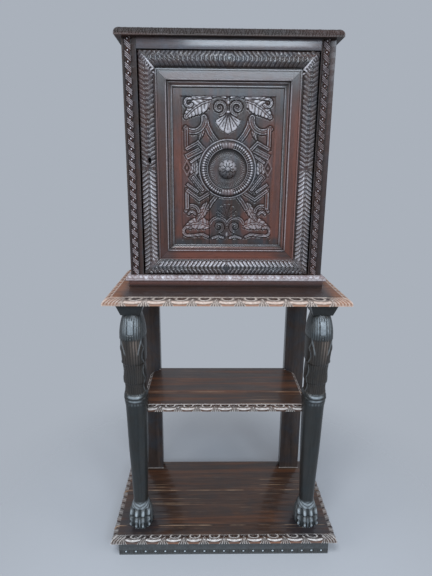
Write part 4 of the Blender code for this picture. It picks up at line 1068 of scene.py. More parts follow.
DOOR_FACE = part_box("frieze_rail")[0].y
DOOR_LOW = Vector((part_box("door_frame_left")[0].x, DOOR_FACE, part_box("door_frame_bottom")[0].z))
DOOR_HIGH = Vector((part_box("door_frame_right")[1].x, DOOR_FACE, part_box("door_frame_top")[1].z))
DOOR_MIDDLE = (DOOR_LOW + DOOR_HIGH) / 2
FORWARD = (0.0, -1.0, 0.0)
DOOR_SIDES = (
    ("bottom", (0.0, DOOR_FACE, DOOR_LOW.z), (1.0, 0.0, 0.0), (0.0, 0.0, 1.0), "x"),
    ("top", (0.0, DOOR_FACE, DOOR_HIGH.z), (1.0, 0.0, 0.0), (0.0, 0.0, -1.0), "x"),
    ("left", (DOOR_LOW.x, DOOR_FACE, DOOR_MIDDLE.z), (0.0, 0.0, 1.0), (1.0, 0.0, 0.0), "z"),
    ("right", (DOOR_HIGH.x, DOOR_FACE, DOOR_MIDDLE.z), (0.0, 0.0, 1.0), (-1.0, 0.0, 0.0), "z"),
)
# How reddish the flat of each door member has worn
FLAT_WARMTH = {"bottom": 1.15, "top": 0.15, "left": 0.50, "right": 1.25}


def torus_section():
    """Torus, quirk, narrow fillet, groove and flat of a door member, and the tints of their rows."""
    angle = np.linspace(0.0, math.pi, 25)
    torus = np.stack((TORUS_WIDTH / 2 * (1.0 - np.cos(angle)), TORUS_HEIGHT * np.sin(angle)), axis=-1)
    quirk = [(TORUS_WIDTH + QUIRK / 2, -QUIRK), (TORUS_WIDTH + QUIRK, 0.0)]
    fillet = [(TORUS_WIDTH + QUIRK + 0.0033, 0.0), (0.0515, -0.0010), (0.0522, -0.0010), (0.0529, 0.0)]
    flat = [(FRAME_WIDTH - 0.012, 0.0), (FRAME_WIDTH, 0.0), (FRAME_WIDTH, -DOOR_THICKNESS)]
    section = np.concatenate(([(0.0, -DOOR_THICKNESS)], torus, quirk, fillet, flat))
    tints = np.zeros((len(section), 3))
    # The quirk and the groove are darkened, painted shade; the narrow fillet is a little paler.
    tints[26, 1] = 0.9
    tints[27:29, 0] = 0.10
    tints[29:31, 1] = 0.6
    tints[27:-1, 2] = 1.0
    return section, tints


def panel_bead_section():
    """Bead, groove, fillet, cove and inner bead, which fall from the frame's edge to the panel; and tints."""
    start = FRAME_WIDTH - 0.004
    width = 0.022
    bead = 0.006
    seat = -0.006 + SEAT
    profile = (
        (0.00, 0.40), (0.05, 0.88), (0.11, 1.00), (0.18, 0.80), (0.23, 0.10), (0.29, -0.05), (0.35, 0.08),
        (0.39, 0.42), (0.45, 0.40), (0.50, 0.18), (0.62, -0.06), (0.74, -0.32), (0.80, -0.20), (0.87, -0.18),
        (0.93, -0.34), (1.00, -0.60),
    )
    share = np.linspace(0.0, 1.0, 45)
    rise = through(profile, share)[:, 0]
    face = np.stack((start + share * width, rise * bead), axis=-1)
    inner = FRAME_WIDTH + SEAT
    foot = [(start + width, seat), (inner, seat), (inner, SEAT), (start, SEAT)]
    section = np.concatenate((face, foot))
    tints = np.zeros((len(section), 3))
    shown = slice(0, len(share))
    # The crests of the beads are paler; the quirk and the foot of the cove are darkened, painted shade.
    tints[shown, 0] = 0.48 * dome((share - 0.11) / 0.10) + 0.22 * dome((share - 0.42) / 0.05)
    tints[shown, 0] += 0.34 * dome((share - 0.86) / 0.07)
    tints[shown, 1] = np.maximum(dome((share - 0.285) / 0.07), ease(0.94, 1.0, share))
    tints[:, 2] = 0.8 * (1.0 - ease(0.5, 0.7, np.concatenate((share, np.ones(len(foot))))))
    return section, tints


def door_members():
    """The four carved frame members, which it gives back by side, and the panel mouldings on them."""
    section, tints = torus_section()
    beads, bead_tints = panel_bead_section()
    size = {"x": DOOR_HIGH.x - DOOR_LOW.x - SEAT, "z": DOOR_HIGH.z - DOOR_LOW.z - SEAT}
    made = {}
    for word, middle, along, across, axis in DOOR_SIDES:
        run = Run(middle, along, across, FORWARD, size[axis], 1.0, -1.0)
        grain = black_level if axis == "x" else black_upright

        def leaves(place, way, half=size[axis] / 2, word=word):
            return laurel(place, way, half, word)

        def fade(place, word=word):
            """Reddish wear: the lower part of the sides, and all but the corners of the bottom."""
            if word in SIDES:
                return FLAT_WARMTH[word] * ease(0.27, 0.12, place)
            return FLAT_WARMTH[word] * (1.0 - 0.7 * ease(0.13, 0.18, np.abs(place)))

        shades = tints.copy()
        if axis == "z":
            shades[31:34, 1] = 0.25
        node = "door_frame_" + word
        made[word] = carved_bar(
            node + "_carved", node, run, section, shades, (1, 26), leaves, 0.0040, grain, "black_oak", "door",
            step=0.0017, fade=fade,
        )
        node = "panel_moulding_" + word
        carved_bar(
            node + "_beaded", node, run, beads, bead_tints, None, None, 0.0, grain, "black_oak", "door",
            step=0.02, fade=fade,
        )
    return made


def keyhole():
    """A round hole with a straight slot below, right through the door's left member."""
    radius = 0.0052
    half = 0.00375
    drop = 0.0125
    start = math.asin(half / radius)
    angle = np.linspace(start, TAU - start, 25)
    x = np.concatenate((-radius * np.sin(angle), [half, -half])) + KEYHOLE_X
    z = np.concatenate((-radius * np.cos(angle), [-drop, -drop])) + KEYHOLE_Z
    y = np.array((DOOR_FACE - 0.03, DOOR_FACE + 0.03))[:, None]
    points = np.stack(np.broadcast_arrays(x[None, :], y, z[None, :]), axis=-1)
    # The walls of the hole are darkened all over: painted shade.
    return Skin().tube(points, 0.0, 1.0).mesh("keyhole")


KEYHOLE_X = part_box("lock_case")[0].x + 0.017
KEYHOLE_Z = (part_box("lock_case")[0].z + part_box("lock_case")[1].z) / 2
cut(door_members()["left"], keyhole())


def foot_mouldings():
    """Carved moulding round the cabinet's foot, mitred at the front corners."""
    low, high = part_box("base_moulding_front")
    overhang = DOOR_FACE - low.y
    rise = high.z - low.z + SEAT
    tip = 0.025
    angle = np.linspace(math.pi / 2, 0.0, 13)
    inset = (overhang - 0.003) * (1.0 - np.cos(angle))
    ovolo = np.stack((overhang - inset, tip + (rise - tip) * np.sin(angle)), axis=-1)
    lip = [(overhang, 0.0235), (overhang, 0.021)]
    foot = [(0.006, height) for height in (0.017, 0.010, 0.003, SEAT)]
    section = np.concatenate(([(SEAT, rise)], ovolo, lip, foot, [(SEAT, SEAT)]))
    tints = np.zeros((len(section), 3))
    tints[:, 2] = 1.0
    # Below the lip the rows darken downwards to a dark line where the moulding meets the slab: painted shade.
    tints[14:16, 0] = 0.42
    tints[16:18] = ((0.16, 0.0, 1.4), (0.05, 0.40, 1.2))
    tints[18] = (0.0, 0.95, 0.4)
    tints[19, 1] = 1.0
    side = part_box("right_front_stile")[1].x
    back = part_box("base_moulding_left")[1].y
    stand = low.z - SEAT
    depth = back - DOOR_FACE
    middle = (back + DOOR_FACE) / 2
    up = (0.0, 0.0, 1.0)
    runs = {"front": Run((0.0, DOOR_FACE, stand), (1.0, 0.0, 0.0), FORWARD, up, 2.0 * side, -1.0, 1.0)}
    for word, hand in (("left", -1.0), ("right", 1.0)):
        place = (hand * side, middle, stand)
        runs[word] = Run(place, (0.0, 1.0, 0.0), (hand, 0.0, 0.0), up, depth - SEAT, -1.0, 0.0)
    for word, run in runs.items():
        node = "base_moulding_" + word

        def leaves(place, way):
            uneven = np.sin(place * TAU / 0.083 + 1.0) * np.sin(place * TAU / 0.037)
            form = leaf_run(place + 0.0035 * np.sin(place * TAU / 0.113), 1.0 - way, 0.0300)
            return 0.56 + 0.44 * form, 0.94 + 0.36 * uneven

        carved_bar(
            node + "_carved", node, run, section, tints, (1, 14), leaves, 0.0034,
            black_level, "black_oak", "root", start=0.34,
        )


def front_stile(side):
    """A corner stile with a carved band on its face, the side panel's groove and the joints cut in it."""
    node = side + "_front_stile"
    low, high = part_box(node)
    band = (low.x + 0.007, low.x + 0.0255) if side == "left" else (low.x + 0.006, low.x + 0.025)
    across = np.linspace(band[0], band[1], 23)
    face = np.concatenate(([low.x], across, [high.x]))
    front = np.stack((face, np.zeros(len(face))), axis=-1)
    panel_low, panel_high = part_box(side + "_side_panel")
    groove = sorted((panel_low.x - SEAT, panel_high.x + SEAT), reverse=True)
    back = low.y - high.y
    floor = back + panel_depth_in(side)
    rear = [
        (high.x, back), (groove[0], back), (groove[0], floor),
        (groove[1], floor), (groove[1], back), (low.x, back),
    ]
    middle = (0.0, low.y, (low.z + high.z) / 2)
    run = Run(middle, (0.0, 0.0, 1.0), (1.0, 0.0, 0.0), FORWARD, high.z - low.z)

    def ribbon(place, way):
        return twist(place, 2.0 * way - 1.0, 0.0292), 1.80 if side == "left" else 0.95

    section = np.concatenate((front, rear))
    tints = np.zeros((len(section), 3))
    tints[1:24, 2] = 0.4
    stile = carved_bar(
        node + "_carved", node, run, section, tints, (1, 24), ribbon, 0.0042,
        black_upright, "black_oak", "root", step=0.0015, start=0.80,
    )
    for rail in ("frieze_rail", "bottom_rail"):
        rail_low, rail_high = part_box(rail)
        grown = Vector((SEAT, 0.0, 0.02))
        middle_y = (low.y + high.y) / 2
        tenon = Vector((0.0, 0.006 + SEAT, 0.0))
        corner_low = Vector((rail_low.x, middle_y, rail_low.z)) - grown - tenon
        corner_high = Vector((rail_high.x, middle_y, rail_high.z)) + grown + tenon
        if rail == "frieze_rail":
            corner_low.z = rail_low.z - SEAT
        else:
            corner_high.z = rail_high.z + SEAT
        cut(stile, box_mesh(corner_low, corner_high))
    if side == "left":
        bolt_low, bolt_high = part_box("lock_bolt")
        spare = Vector((0.0, 0.0015, 0.0015))
        reach = Vector((0.0135, 0.0, 0.0))
        cut(stile, box_mesh(bolt_low - spare - reach, bolt_high + spare))


def panel_depth_in(side):
    """How deep the side panel's groove goes into the front stile."""
    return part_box(side + "_front_stile")[1].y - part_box(side + "_side_panel")[0].y + 2.0 * SEAT


def plinth_front():
    """The plinth's face, with a row of pearls between short strokes near its foot."""
    node = "plinth_front"
    low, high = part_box(node)
    pearl_rise = 0.0128
    pearl_pitch = 0.0334
    tall = high.z - low.z
    rows = np.concatenate(([0.0], pearl_rise + np.linspace(-0.0095, 0.0125, 17), [0.034, 0.044, tall]))
    face = np.stack((rows, np.zeros(len(rows))), axis=-1)
    back = low.y - high.y
    section = np.concatenate((face, [(tall, back), (0.0, back)]))
    run = Run((0.0, low.y, low.z), (1.0, 0.0, 0.0), (0.0, 0.0, 1.0), FORWARD, high.x - low.x)

    def pearls(place, way):
        rise = way * tall
        across = repeat(place, pearl_pitch) * pearl_pitch
        pearl = dome(np.hypot(across, rise - pearl_rise) / 0.0040)
        well = 1.0 - ease(1.0, 1.5, np.hypot(across / 0.0046, (rise - pearl_rise) / 0.0050))
        stroke = dome(repeat(place, 0.0046) / 0.3) * (1.0 - ease(0.006, 0.009, np.abs(rise - pearl_rise)))
        ground = 0.55 - 0.25 * stroke * (np.abs(across) > 0.0062)
        ground = np.where(well > 0.0, ground - 0.45 * well + 0.9 * pearl, ground)
        return np.maximum(ground, 0.0), np.where(pearl > 0.2, 2.2, 0.7)

    carved_bar(
        node + "_pearled", node, run, section, 0.0, (0, len(rows)), pearls, 0.0022,
        plinth_oak, "green_black_oak", "root", start=0.36,
    )


foot_mouldings()
for side in SIDES:
    front_stile(side)
plinth_front()


# Door panel: places are millimetres from the middle of the door, given for the right half
MILLIMETRES = 1000.0


def to_line(x, z, route, square=False):
    """Distance from a route of straight runs, which end round or square."""
    nearest = np.full(x.shape, 1000.0)
    for (from_x, from_z), (to_x, to_z) in zip(route[:-1], route[1:]):
        way_x = to_x - from_x
        way_z = to_z - from_z
        length = math.hypot(way_x, way_z)
        along = ((x - from_x) * way_x + (z - from_z) * way_z) / length
        past = np.maximum(np.maximum(-along, along - length), 0.0)
        aside = np.abs((x - from_x) * way_z - (z - from_z) * way_x) / length
        nearest = np.minimum(nearest, np.maximum(past, aside) if square else np.hypot(past, aside))
    return nearest


def arc_route(centre, radius, start, end, steps=14):
    """Points on an arc; angles in degrees, from the right, turning upwards."""
    angles = np.radians(np.linspace(start, end, steps))
    return [(centre[0] + radius * math.cos(angle), centre[1] + radius * math.sin(angle)) for angle in angles]


def strap(distance, half):
    """A flat band with a fine ridge along each edge, and the groove that sets it off from the ground."""
    ridge = dome((distance - half + 1.5) / 1.5)
    inner = dome((distance - half + 3.8) / 1.1)
    body = (0.70 + 0.30 * ridge - 0.40 * inner) * (1.0 - ease(half - 0.3, half + 0.5, distance))
    return body, dome((distance - half - 1.7) / 1.7)


def volute(x, z, centre, radius, hand):
    """A flat band that winds in to an eye, with a narrow groove between its turns."""
    out = np.hypot(x - centre[0], z - centre[1])
    angle = np.arctan2(z - centre[1], hand * (x - centre[0])) + math.pi / 2
    pitch = 13.0
    wound = (angle % TAU) / TAU
    share = repeat(out - radius + pitch * (wound + 0.5), pitch)
    band = np.minimum(1.0, 1.6 * dome(share / 0.38)) * (1.0 - 0.30 * dome(share / 0.10))
    band = np.where(out < radius - pitch * (wound - 0.02), 0.74 * band, 0.44)
    return np.maximum(np.where(out < 4.6, 0.05, band), 0.8 * dome(out / 4.0))


def palmette(x, z, base, length, spread, lobes, upward):
    """A shell of broad lobes from one point, parted by narrow cuts and split at their tips."""
    across = x - base[0]
    along = (z - base[1]) * upward
    out = np.hypot(across, along)
    lean = np.arctan2(across, along)
    part = repeat(lean, 2.0 * spread / lobes)
    reach = length * (1.0 - 0.26 * np.abs(lean) / spread) * (0.94 + 0.06 * dome(part / 0.52))
    inside = (1.0 - ease(reach - 1.2, reach + 0.4, out)) * (np.abs(lean) < spread)
    gap = np.abs(part) * 2.0 * spread / lobes * out
    cuts = ease(0.0, 1.5, (spread / lobes) * out - gap)
    slit = dome(gap / 0.9) * ease(0.50, 0.60, out / reach) * (1.0 - ease(0.78, 0.88, out / reach))
    return inside * (0.10 + 0.90 * cuts) * (1.0 - 0.6 * slit) * (0.80 + 0.20 * ease(0.2, 0.9, out / reach))


def acanthus(x, z, route, half, lobes):
    """A leaf along a bent rib, with rounded fingers that lean towards its tip; and the groove round it."""
    runs = list(zip(route[:-1], route[1:]))
    lengths = [math.dist(*run) for run in runs]
    aside = np.full(x.shape, 1000.0)
    along = np.zeros(x.shape)
    passed = 0.0
    for ((from_x, from_z), (to_x, to_z)), length in zip(runs, lengths):
        share = ((x - from_x) * (to_x - from_x) + (z - from_z) * (to_z - from_z)) / length ** 2
        share = np.clip(share, 0.0, 1.0)
        away = np.hypot(x - from_x - share * (to_x - from_x), z - from_z - share * (to_z - from_z))
        along = np.where(away < aside, (passed + share * length) / sum(lengths), along)
        aside = np.minimum(aside, away)
        passed += length
    finger = dome(repeat(lobes * along - 0.95 * aside / half, 1.0) / 0.52)
    edge = half * (0.30 + 0.70 * np.sin(math.pi * along ** 0.75)) * (0.70 + 0.30 * finger)
    body = 1.0 - ease(edge - 0.8, edge + 0.4, aside)
    rib = dome(aside / 1.7)
    vein = dome((aside - 2.8) / 1.3)
    form = np.maximum((0.22 + 0.72 * finger ** 0.7) * (1.0 - 0.5 * vein), 0.9 * rib)
    return body * form, dome((aside - edge - 1.4) / 1.7)


STRAPS = (
    (7.0, [(66, 141), (61, 120), (50, 99), (34, 79)]),
    (7.5, arc_route((102, 138), 32.5, 168, 312)),
    (3.4, [(50, 197), (84, 199)] + arc_route((114, 185), 11, 105, -150)),
    (5.4, [(34, -82), (46, -96), (58, -116)]),
    (4.4, arc_route((106, -128), 20, 12, 172)),
    (3.4, arc_route((107, -136), 10, 15, 165)),
    (4.4, arc_route((26, -170), 26, 20, 168)),
    (3.4, arc_route((120, -186), 13, 130, -90) + [(96, -198), (74, -195), (58, -203)]),
    (3.2, [(10, -206), (26, -201), (44, -207)]),
    (2.4, [(8, 199), (24, 203), (44, 201)]),
)
RIBBONS = (
    (4.9, [(122, 60), (122, 111)]),
    (4.9, [(121, -62), (121, -113)]),
    (3.4, [(108, 20), (80, 38)]),
    (7.8, [(116, 37), (82, 54)]),
    (4.4, [(119, 58), (88, 75), (67, 53)]),
    (9.0, [(102, -25), (74, -60)]),
    (4.0, [(102, -25), (74, -60)]),
    (3.8, [(118, -46), (90, -66)]),
    (4.4, [(118, -64), (84, -89), (56, -72)]),
)
LEAVES = (
    ([(50, 190), (76, 182), (100, 167), (122, 147)], 24.0, 7),
    ([(54, -170), (80, -160), (104, -163), (126, -174)], 19.0, 6),
    ([(103, -30), (98, 0), (97, 32)], 13.0, 5),
    ([(74, 114), (84, 84)], 8.0, 3),
    ([(62, -100), (72, -126), (90, -152)], 12.0, 5),
)
VOLUTES = (((26, 172), 27.0), ((25, -172), 22.0))
SHELLS = (((0, 158), 58.0, 1.05, -1.0, 0.94), ((0, -144), 44.0, 1.50, 1.0, 0.62))


def panel_carving(x, z):
    """Strapwork, leaves, palmettes and volutes in low relief on a sunk ground round the medallion."""
    right = np.abs(x)
    laid = [acanthus(right, z, *leaf) for leaf in LEAVES]
    laid += [strap(to_line(right, z, route), half) for half, route in STRAPS]
    laid += [strap(to_line(right, z, route, square=True), half) for half, route in RIBBONS]
    form = np.zeros(x.shape)
    for body, groove in laid:
        covered = np.maximum(form * (1.0 - ease(0.0, 0.3, body)), body)
        form = np.where(body > 0.02, covered, form - 0.6 * groove * form)
    ground = 0.48 - 0.42 * np.max([groove for _, groove in laid], axis=0)
    lozenge = np.abs(right - 121.0) / 12.0 + np.abs(z - 2.0) / 23.0
    form = np.where(lozenge < 1.25, 0.66 * dome((lozenge - 0.95) / 0.30) + 0.1, form)
    form = np.maximum(form, 0.8 * dome(np.hypot((right - 121.0) / 4.0, (z - 2.0) / 7.0)))
    for centre, radius in VOLUTES:
        clear = np.hypot(right - centre[0], z - centre[1]) > radius + 1.4
        form = np.where(clear, form, 0.04 + 0.96 * volute(right, z, centre, radius, -1.0))
    for base, length, spread, upward, boldness in SHELLS:
        shell = palmette(x, z, base, length, spread, 5, upward)
        form = np.where(shell > 0.03, boldness * shell, form)
    for middle, size in (((0, 186), (5.0, 7.0)), ((0, 160), (7.0, 5.0)), ((0, -196), (4.6, 9.0))):
        form = np.maximum(form, dome(np.hypot(x / size[0], (z - middle[1]) / size[1])))
    height = np.where(form > 0.02, form, ground)
    ring = np.hypot(x, z)
    height = np.where(ring < 88.0, 0.30 + 0.70 * dome((ring - 83.6) / 2.4), height)
    border = np.maximum(ease(133.0, 137.0, right), ease(204.0, 208.0, np.abs(z + 5.0)))
    plain = np.maximum(border, 1.0 - ease(79.0, 80.5, ring))
    return np.maximum(height, plain), plain


def door_panel(side):
    """One board of the panel, carved on its face, with the open joint along its inner edge."""
    node = "door_panel_" + side
    low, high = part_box(node)
    edge = DOOR_HIGH.x - FRAME_WIDTH - SEAT
    left = max(low.x, -edge)
    right = min(high.x, edge)
    bottom = DOOR_LOW.z + FRAME_WIDTH + SEAT
    top = DOOR_HIGH.z - FRAME_WIDTH - SEAT
    pitch = 0.0016
    x = np.linspace(left, right, int((right - left) / pitch))
    z = np.linspace(bottom, top, int((top - bottom) / pitch))
    x, z = np.meshgrid(x, z)
    up = MILLIMETRES * (z - DOOR_MIDDLE.z)
    out = MILLIMETRES * np.abs(x)
    height, plain = panel_carving(MILLIMETRES * x, up)
    wear_and_highlight, dirt_and_shade = pale_crests_and_dark_hollows(height)
    points = np.stack((x, low.y + 0.0046 * (1.0 - height), z), axis=-1)
    warm = ease(88.0, 125.0, out) * ease(165.0, 95.0, up) * ease(-215.0, -195.0, up)
    warm = np.maximum(warm, dome(np.hypot((out - 82.0) / 46.0, (up + 160.0) / 52.0)))
    warm = np.maximum(warm, 0.8 * dome(np.hypot((out - 62.0) / 16.0, (up - 108.0) / 34.0)))
    # Painted light: the carving paler towards the top of the panel and darker towards the bottom.
    painted_light_by_height = 0.66 + 0.22 * ease(80.0, 130.0, up) - 0.14 * ease(-90.0, -150.0, up)
    joint = high.x if side == "left" else low.x
    crack = (1.0 - ease(0.0006, 0.0015, np.abs(x - joint))) * ease(100.0, -60.0, up)
    points[..., 1] += 0.0015 * crack
    flat = (plain > 0.5) * (crack < 0.1)
    wear_and_highlight = np.where(flat, 0.0, painted_light_by_height * wear_and_highlight * (1.0 - crack))
    dirt_and_shade = np.where(flat, 0.0, 0.9 * np.maximum(dirt_and_shade, crack))
    skin = Skin()
    index = skin.add(points, wear_and_highlight, dirt_and_shade, 0.68 * warm)
    skin.sew(index)
    skin.back(points, index, high.y)
    skin.piece(node + "_carved", black_upright, "black_oak", "door", node)


for side in SIDES:
    door_panel(side)


# Medallion and rosette


def turned(name, node, radius, rise, tints, columns, base):
    """Rings round the door's middle, closed by a flat back; the arrays hold one row for each ring."""
    angle = np.arange(columns) / columns * TAU
    points = np.stack((radius * np.sin(angle), base - rise, DOOR_MIDDLE.z + radius * np.cos(angle)), axis=-1)
    Skin().tube(points, *tints).piece(name, black_upright, "black_oak", "door", node)


def medallion():
    """A turned dish inside a ring of gadroons, with a clasp at the top and at the bottom."""
    low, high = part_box("medallion")
    full = high.y - low.y
    outer = (high.x - low.x) / 2
    dish = 0.057
    floor = 0.004
    columns = 480
    angle = np.arange(columns) / columns * TAU
    flat = np.linspace(0.012, dish - 0.004, 40)[:, None]
    ticks = dome(repeat(angle, TAU / 60.0) / 0.30)[None, :] * dome((flat - 0.047) / 0.0055)
    lines = floor - 0.0004 + 0.0002 * np.cos(flat / 0.0036 * TAU) - 0.0005 * ticks
    bow = np.linspace(0.0, math.pi, 23)[:, None]
    middle = (outer - 0.0016 + dish) / 2
    half = (outer - 0.0016 - dish) / 2
    ring = middle - half * np.cos(bow)
    to_clasp = np.abs(repeat(angle, math.pi)) * math.pi * middle
    clasp = to_clasp < 0.0175
    gadroon = dome(repeat(angle, TAU / 62.0) / 0.47)
    ridges = 0.45 + 0.35 * dome(repeat(to_clasp - 0.0045, 0.009) / 0.5)
    across = (ring - dish) / (outer - dish)
    bead = gadroon[None, :] * np.maximum(dome((across - 0.70) / 0.22), 0.62 * dome((across - 0.34) / 0.15))
    inner_fillet = 0.75 * dome((across - 0.10) / 0.09)
    lobes = np.where(clasp[None, :], ridges[None, :], np.maximum(bead, inner_fillet))
    crown = floor + (full - floor) * np.sin(bow) ** 0.7 * (0.52 + 0.48 * lobes)
    rim = np.array(((outer - 0.0012, 0.0034), (outer, 0.0030), (outer, 0.0)))[:, :, None]
    spread = np.ones((1, columns))
    radius = np.concatenate((flat * spread, ring * spread, rim[:, 0] * spread))
    rise = np.concatenate((lines, crown, rim[:, 1] * spread))
    carved = np.concatenate((np.full((len(flat), columns), 0.3), lobes, np.full((3, columns), 0.5)))
    crest = np.concatenate((0.0 * flat, np.sin(bow), np.zeros((3, 1))))
    # Painted shadow: a dark band round the dish's edge under the ring, wider at the top; the ticks on the
    # dish are darkened too, and the low parts between the gadroons get painted shade.
    above = 0.004 * ease(-0.2, 0.8, np.cos(angle))[None, :]
    shade = ease(dish - 0.007 - above, dish - 0.002 - above, radius)
    shade *= 1.0 - ease(dish, dish + 0.003, radius)
    shade[:len(flat)] = np.maximum(shade[:len(flat)], 0.35 * ticks)
    wear_and_highlight = 1.05 * crest * ease(0.42, 0.90, carved) * np.where(clasp, 0.3, 1.0)
    wear_and_highlight[:len(flat)] = 0.06 * (1.0 - shade[:len(flat)])
    dirt_and_shade = np.maximum(0.8 * shade, crest * (1.0 - ease(0.0, 0.5, carved)))
    bound = 0.3 * clasp * crest
    turned("medallion_carved", "medallion", radius, rise, (wear_and_highlight, dirt_and_shade, bound), columns, high.y)


def rosette():
    """A domed flower: a button in the middle and two tiers of petals."""
    low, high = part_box("rosette_boss")
    full = high.y - low.y
    outer = (high.x - low.x) / 2
    columns = 240
    angle = (np.arange(columns) / columns * TAU)[None, :]
    button = np.linspace(0.0006, 0.0066, 10)[:, None]
    swell = dome(button / 0.0068)
    bud = 0.0205 + (full - 0.0205) * swell * (0.92 + 0.08 * np.cos(6.0 * angle))
    way = np.linspace(0.0, 1.0, 30)[:, None]
    pitch = TAU / 10.0
    petal = dome(repeat(angle, pitch) / 0.5)
    between = dome(repeat(angle + TAU / 20.0, pitch) / 0.5)
    inner = way < 0.50 + 0.16 * petal
    reach = 0.0074 + (outer - 0.0074) * way
    dome_rise = 0.0025 + 0.0185 * dome(way * 0.985)
    first = dome_rise * (0.90 + 0.10 * petal) * (1.0 - 0.04 * dome(repeat(angle, pitch) / 0.08))
    second = dome_rise * (0.88 + 0.08 * between)
    crown = np.where(inner, first, second)
    crown = crown - 0.0020 * dome((way - 0.02) / 0.07)
    spread = np.ones((1, columns))
    radius = np.concatenate((button * spread, reach * spread, np.full((1, columns), outer)))
    rise = np.concatenate((bud * spread, crown, np.zeros((1, columns))))
    lobes = np.where(inner, petal, 0.35 + 0.65 * between)
    # Painted light: the petals paler on the upper half of the dome and darker on the lower half; the low
    # parts between petals get painted shade.
    painted_light_share = 0.62 * (0.25 + 0.75 * ease(-0.5, 0.6, np.cos(angle)))
    wear_and_highlight = np.concatenate((0.7 * swell * spread, painted_light_share * ease(0.5, 1.0, lobes), 0.0 * spread))
    dirt_and_shade = np.concatenate((0.0 * button * spread, 0.8 * (1.0 - ease(0.0, 0.45, lobes)), 0.0 * spread))
    turned("rosette_carved", "rosette_boss", radius, rise, (wear_and_highlight, dirt_and_shade, 0.0), columns, high.y)


medallion()
rosette()


# Plain pieces: worn arrises on what shows, and a finish on every node that stays


def finish_plain_pieces():
    """Rounds off the plain pieces that show, and gives the nodes that stay their finish."""
    shown = {
        "frieze_rail": frieze_oak_painted_sheen, "left_leg_cap": leg_oak, "right_leg_cap": leg_oak,
        "left_post": post_oak, "right_post": post_oak,
        "plinth_left": plinth_deep, "plinth_right": plinth_deep,
    }
    slots = {row["node"]: row["material_slot"] for row in frame["record"]["subparts"]}
    for node, finish in shown.items():
        eased(node, finish, slots[node], "root")
    kept = {
        black_upright: ("left_side_panel", "right_side_panel"),
        black_deep: (
            "left_side_top_rail", "right_side_top_rail", "left_side_bottom_rail", "right_side_bottom_rail"
        ),
        plain_upright: (
            "left_rear_stile", "right_rear_stile", "back_board_left", "back_board_middle", "back_board_right"
        ),
        plain_level: ("bottom_rail", "cabinet_floor", "inner_shelf", "plinth_back"),
        plain_deep: ("left_shelf_cleat", "right_shelf_cleat"),
        iron: (
            "upper_pivot_pin", "lower_pivot_pin", "upper_pivot_bush", "lower_pivot_bush",
            "lock_case", "lock_bolt",
        ),
    }
    for finish, names in kept.items():
        for node in names:
            nodes[node].data.materials.clear()
            nodes[node].data.materials.append(finish)


finish_plain_pieces()


# Camera, floor and light


def add_camera():
    """The photograph's own view: its place in metres, its turns in degrees, its focal length in pixels."""
    place = Vector((-0.0545, -1.3998, 1.2626))
    pitch, yaw, roll = (math.radians(angle) for angle in (14.654, 0.972, 0.421))
    focal = 437.52
    long_side = 576.0
    sensor = 36.0
    forward = Vector((math.sin(yaw) * math.cos(pitch), math.cos(yaw) * math.cos(pitch), -math.sin(pitch)))
    right = Vector((math.cos(yaw), -math.sin(yaw), 0.0))
    up = right.cross(forward)
    turned_right = right * math.cos(roll) + up * math.sin(roll)
    turned_up = up * math.cos(roll) - right * math.sin(roll)
    data = bpy.data.cameras.new("camera")
    data.sensor_width = sensor
    data.lens = sensor * focal / long_side
    camera = bpy.data.objects.new("camera", data)
    bpy.context.scene.collection.objects.link(camera)
    turn = Matrix((turned_right, turned_up, -forward)).transposed()
    camera.matrix_world = Matrix.Translation(place) @ turn.to_4x4()
    bpy.context.scene.camera = camera


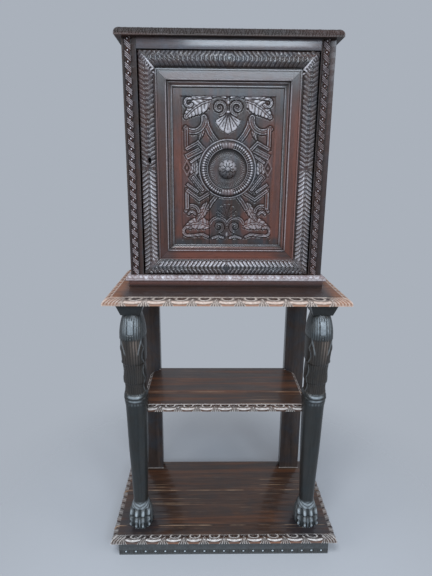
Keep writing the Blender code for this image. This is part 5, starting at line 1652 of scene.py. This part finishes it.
def add_floor():
    """A pale round floor that fades into the background and keeps the shadow."""
    finish = Finish("pale_floor")
    place = finish.place()
    distance = finish.node("ShaderNodeVectorMath", {"operation": "LENGTH"}, {0: place}, 1)
    fade = finish.span(distance, 0.45, 1.15, change="SMOOTHSTEP")
    mottle = finish.noise(place, 30.0, 3.0)
    finish.set(Base_Color=finish.blend(mottle * 0.3, paint(0.57, 0.59, 0.63), paint(0.545, 0.57, 0.605)))
    finish.set(Roughness=0.9, Specular_IOR_Level=0.1)
    clear = finish.node("ShaderNodeBsdfTransparent")
    solid = Tone(finish, finish.shader.outputs[0])
    faded = finish.node("ShaderNodeMixShader", None, {0: fade, 1: solid, 2: clear})
    finish.feed(finish.tree.nodes["Material Output"].inputs["Surface"], faded)
    mesh = bpy.data.meshes.new("floor")
    made = bmesh.new()
    bmesh.ops.create_circle(made, cap_ends=True, segments=96, radius=1.2)
    made.to_mesh(mesh)
    made.free()
    mesh.materials.append(finish.material)
    floor = bpy.data.objects.new("floor", mesh)
    bpy.context.scene.collection.objects.link(floor)
    floor.location.z = -0.0005


def add_softbox(name, place, aim, size, watts, colour):
    """A soft lamp that looks from its place at its aim."""
    data = bpy.data.lights.new(name, "AREA")
    data.shape = "RECTANGLE"
    data.size, data.size_y = size
    data.energy = watts
    data.color = colour
    lamp = bpy.data.objects.new(name, data)
    bpy.context.scene.collection.objects.link(lamp)
    lamp.location = place
    lamp.rotation_euler = (Vector(aim) - Vector(place)).to_track_quat("-Z", "Y").to_euler()


def add_light():
    """A pale backdrop that lights less than it shows, a high key, a sheen from the front and two fills."""
    world = Finish("studio", bpy.data.worlds, "Background")
    world.set(Color=paint(0.402, 0.440, 0.497))
    lit = world.node("ShaderNodeBackground", None, {"Color": paint(0.235, 0.250, 0.275)})
    seen = world.node("ShaderNodeLightPath", output="Is Camera Ray")
    for ray in ("Is Glossy Ray", "Is Transmission Ray"):
        seen = seen + world.node("ShaderNodeLightPath", output=ray)
    shown = Tone(world, world.shader.outputs[0])
    both = world.node("ShaderNodeMixShader", None, {0: seen, 1: lit, 2: shown})
    world.feed(world.tree.nodes["World Output"].inputs["Surface"], both)
    bpy.context.scene.world = world.material
    cold = (0.76, 0.88, 1.0)
    add_softbox("key", (-0.5, -2.0, 3.4), (0.0, 0.0, 1.0), (1.2, 1.0), 46.0, (0.90, 0.95, 1.0))
    add_softbox("sheen", (0.50, -3.3, 2.6), (0.0, 0.0, 1.3), (2.4, 1.0), 81.0, cold)
    for name, x in (("left_fill", -2.6), ("right_fill", 2.6)):
        add_softbox(name, (x, -1.6, 1.6), (0.0, 0.0, 0.8), (1.2, 1.8), 16.0, (1.0, 0.97, 0.93))


add_camera()
add_floor()
add_light()
bpy.context.scene.view_settings.view_transform = "Standard"
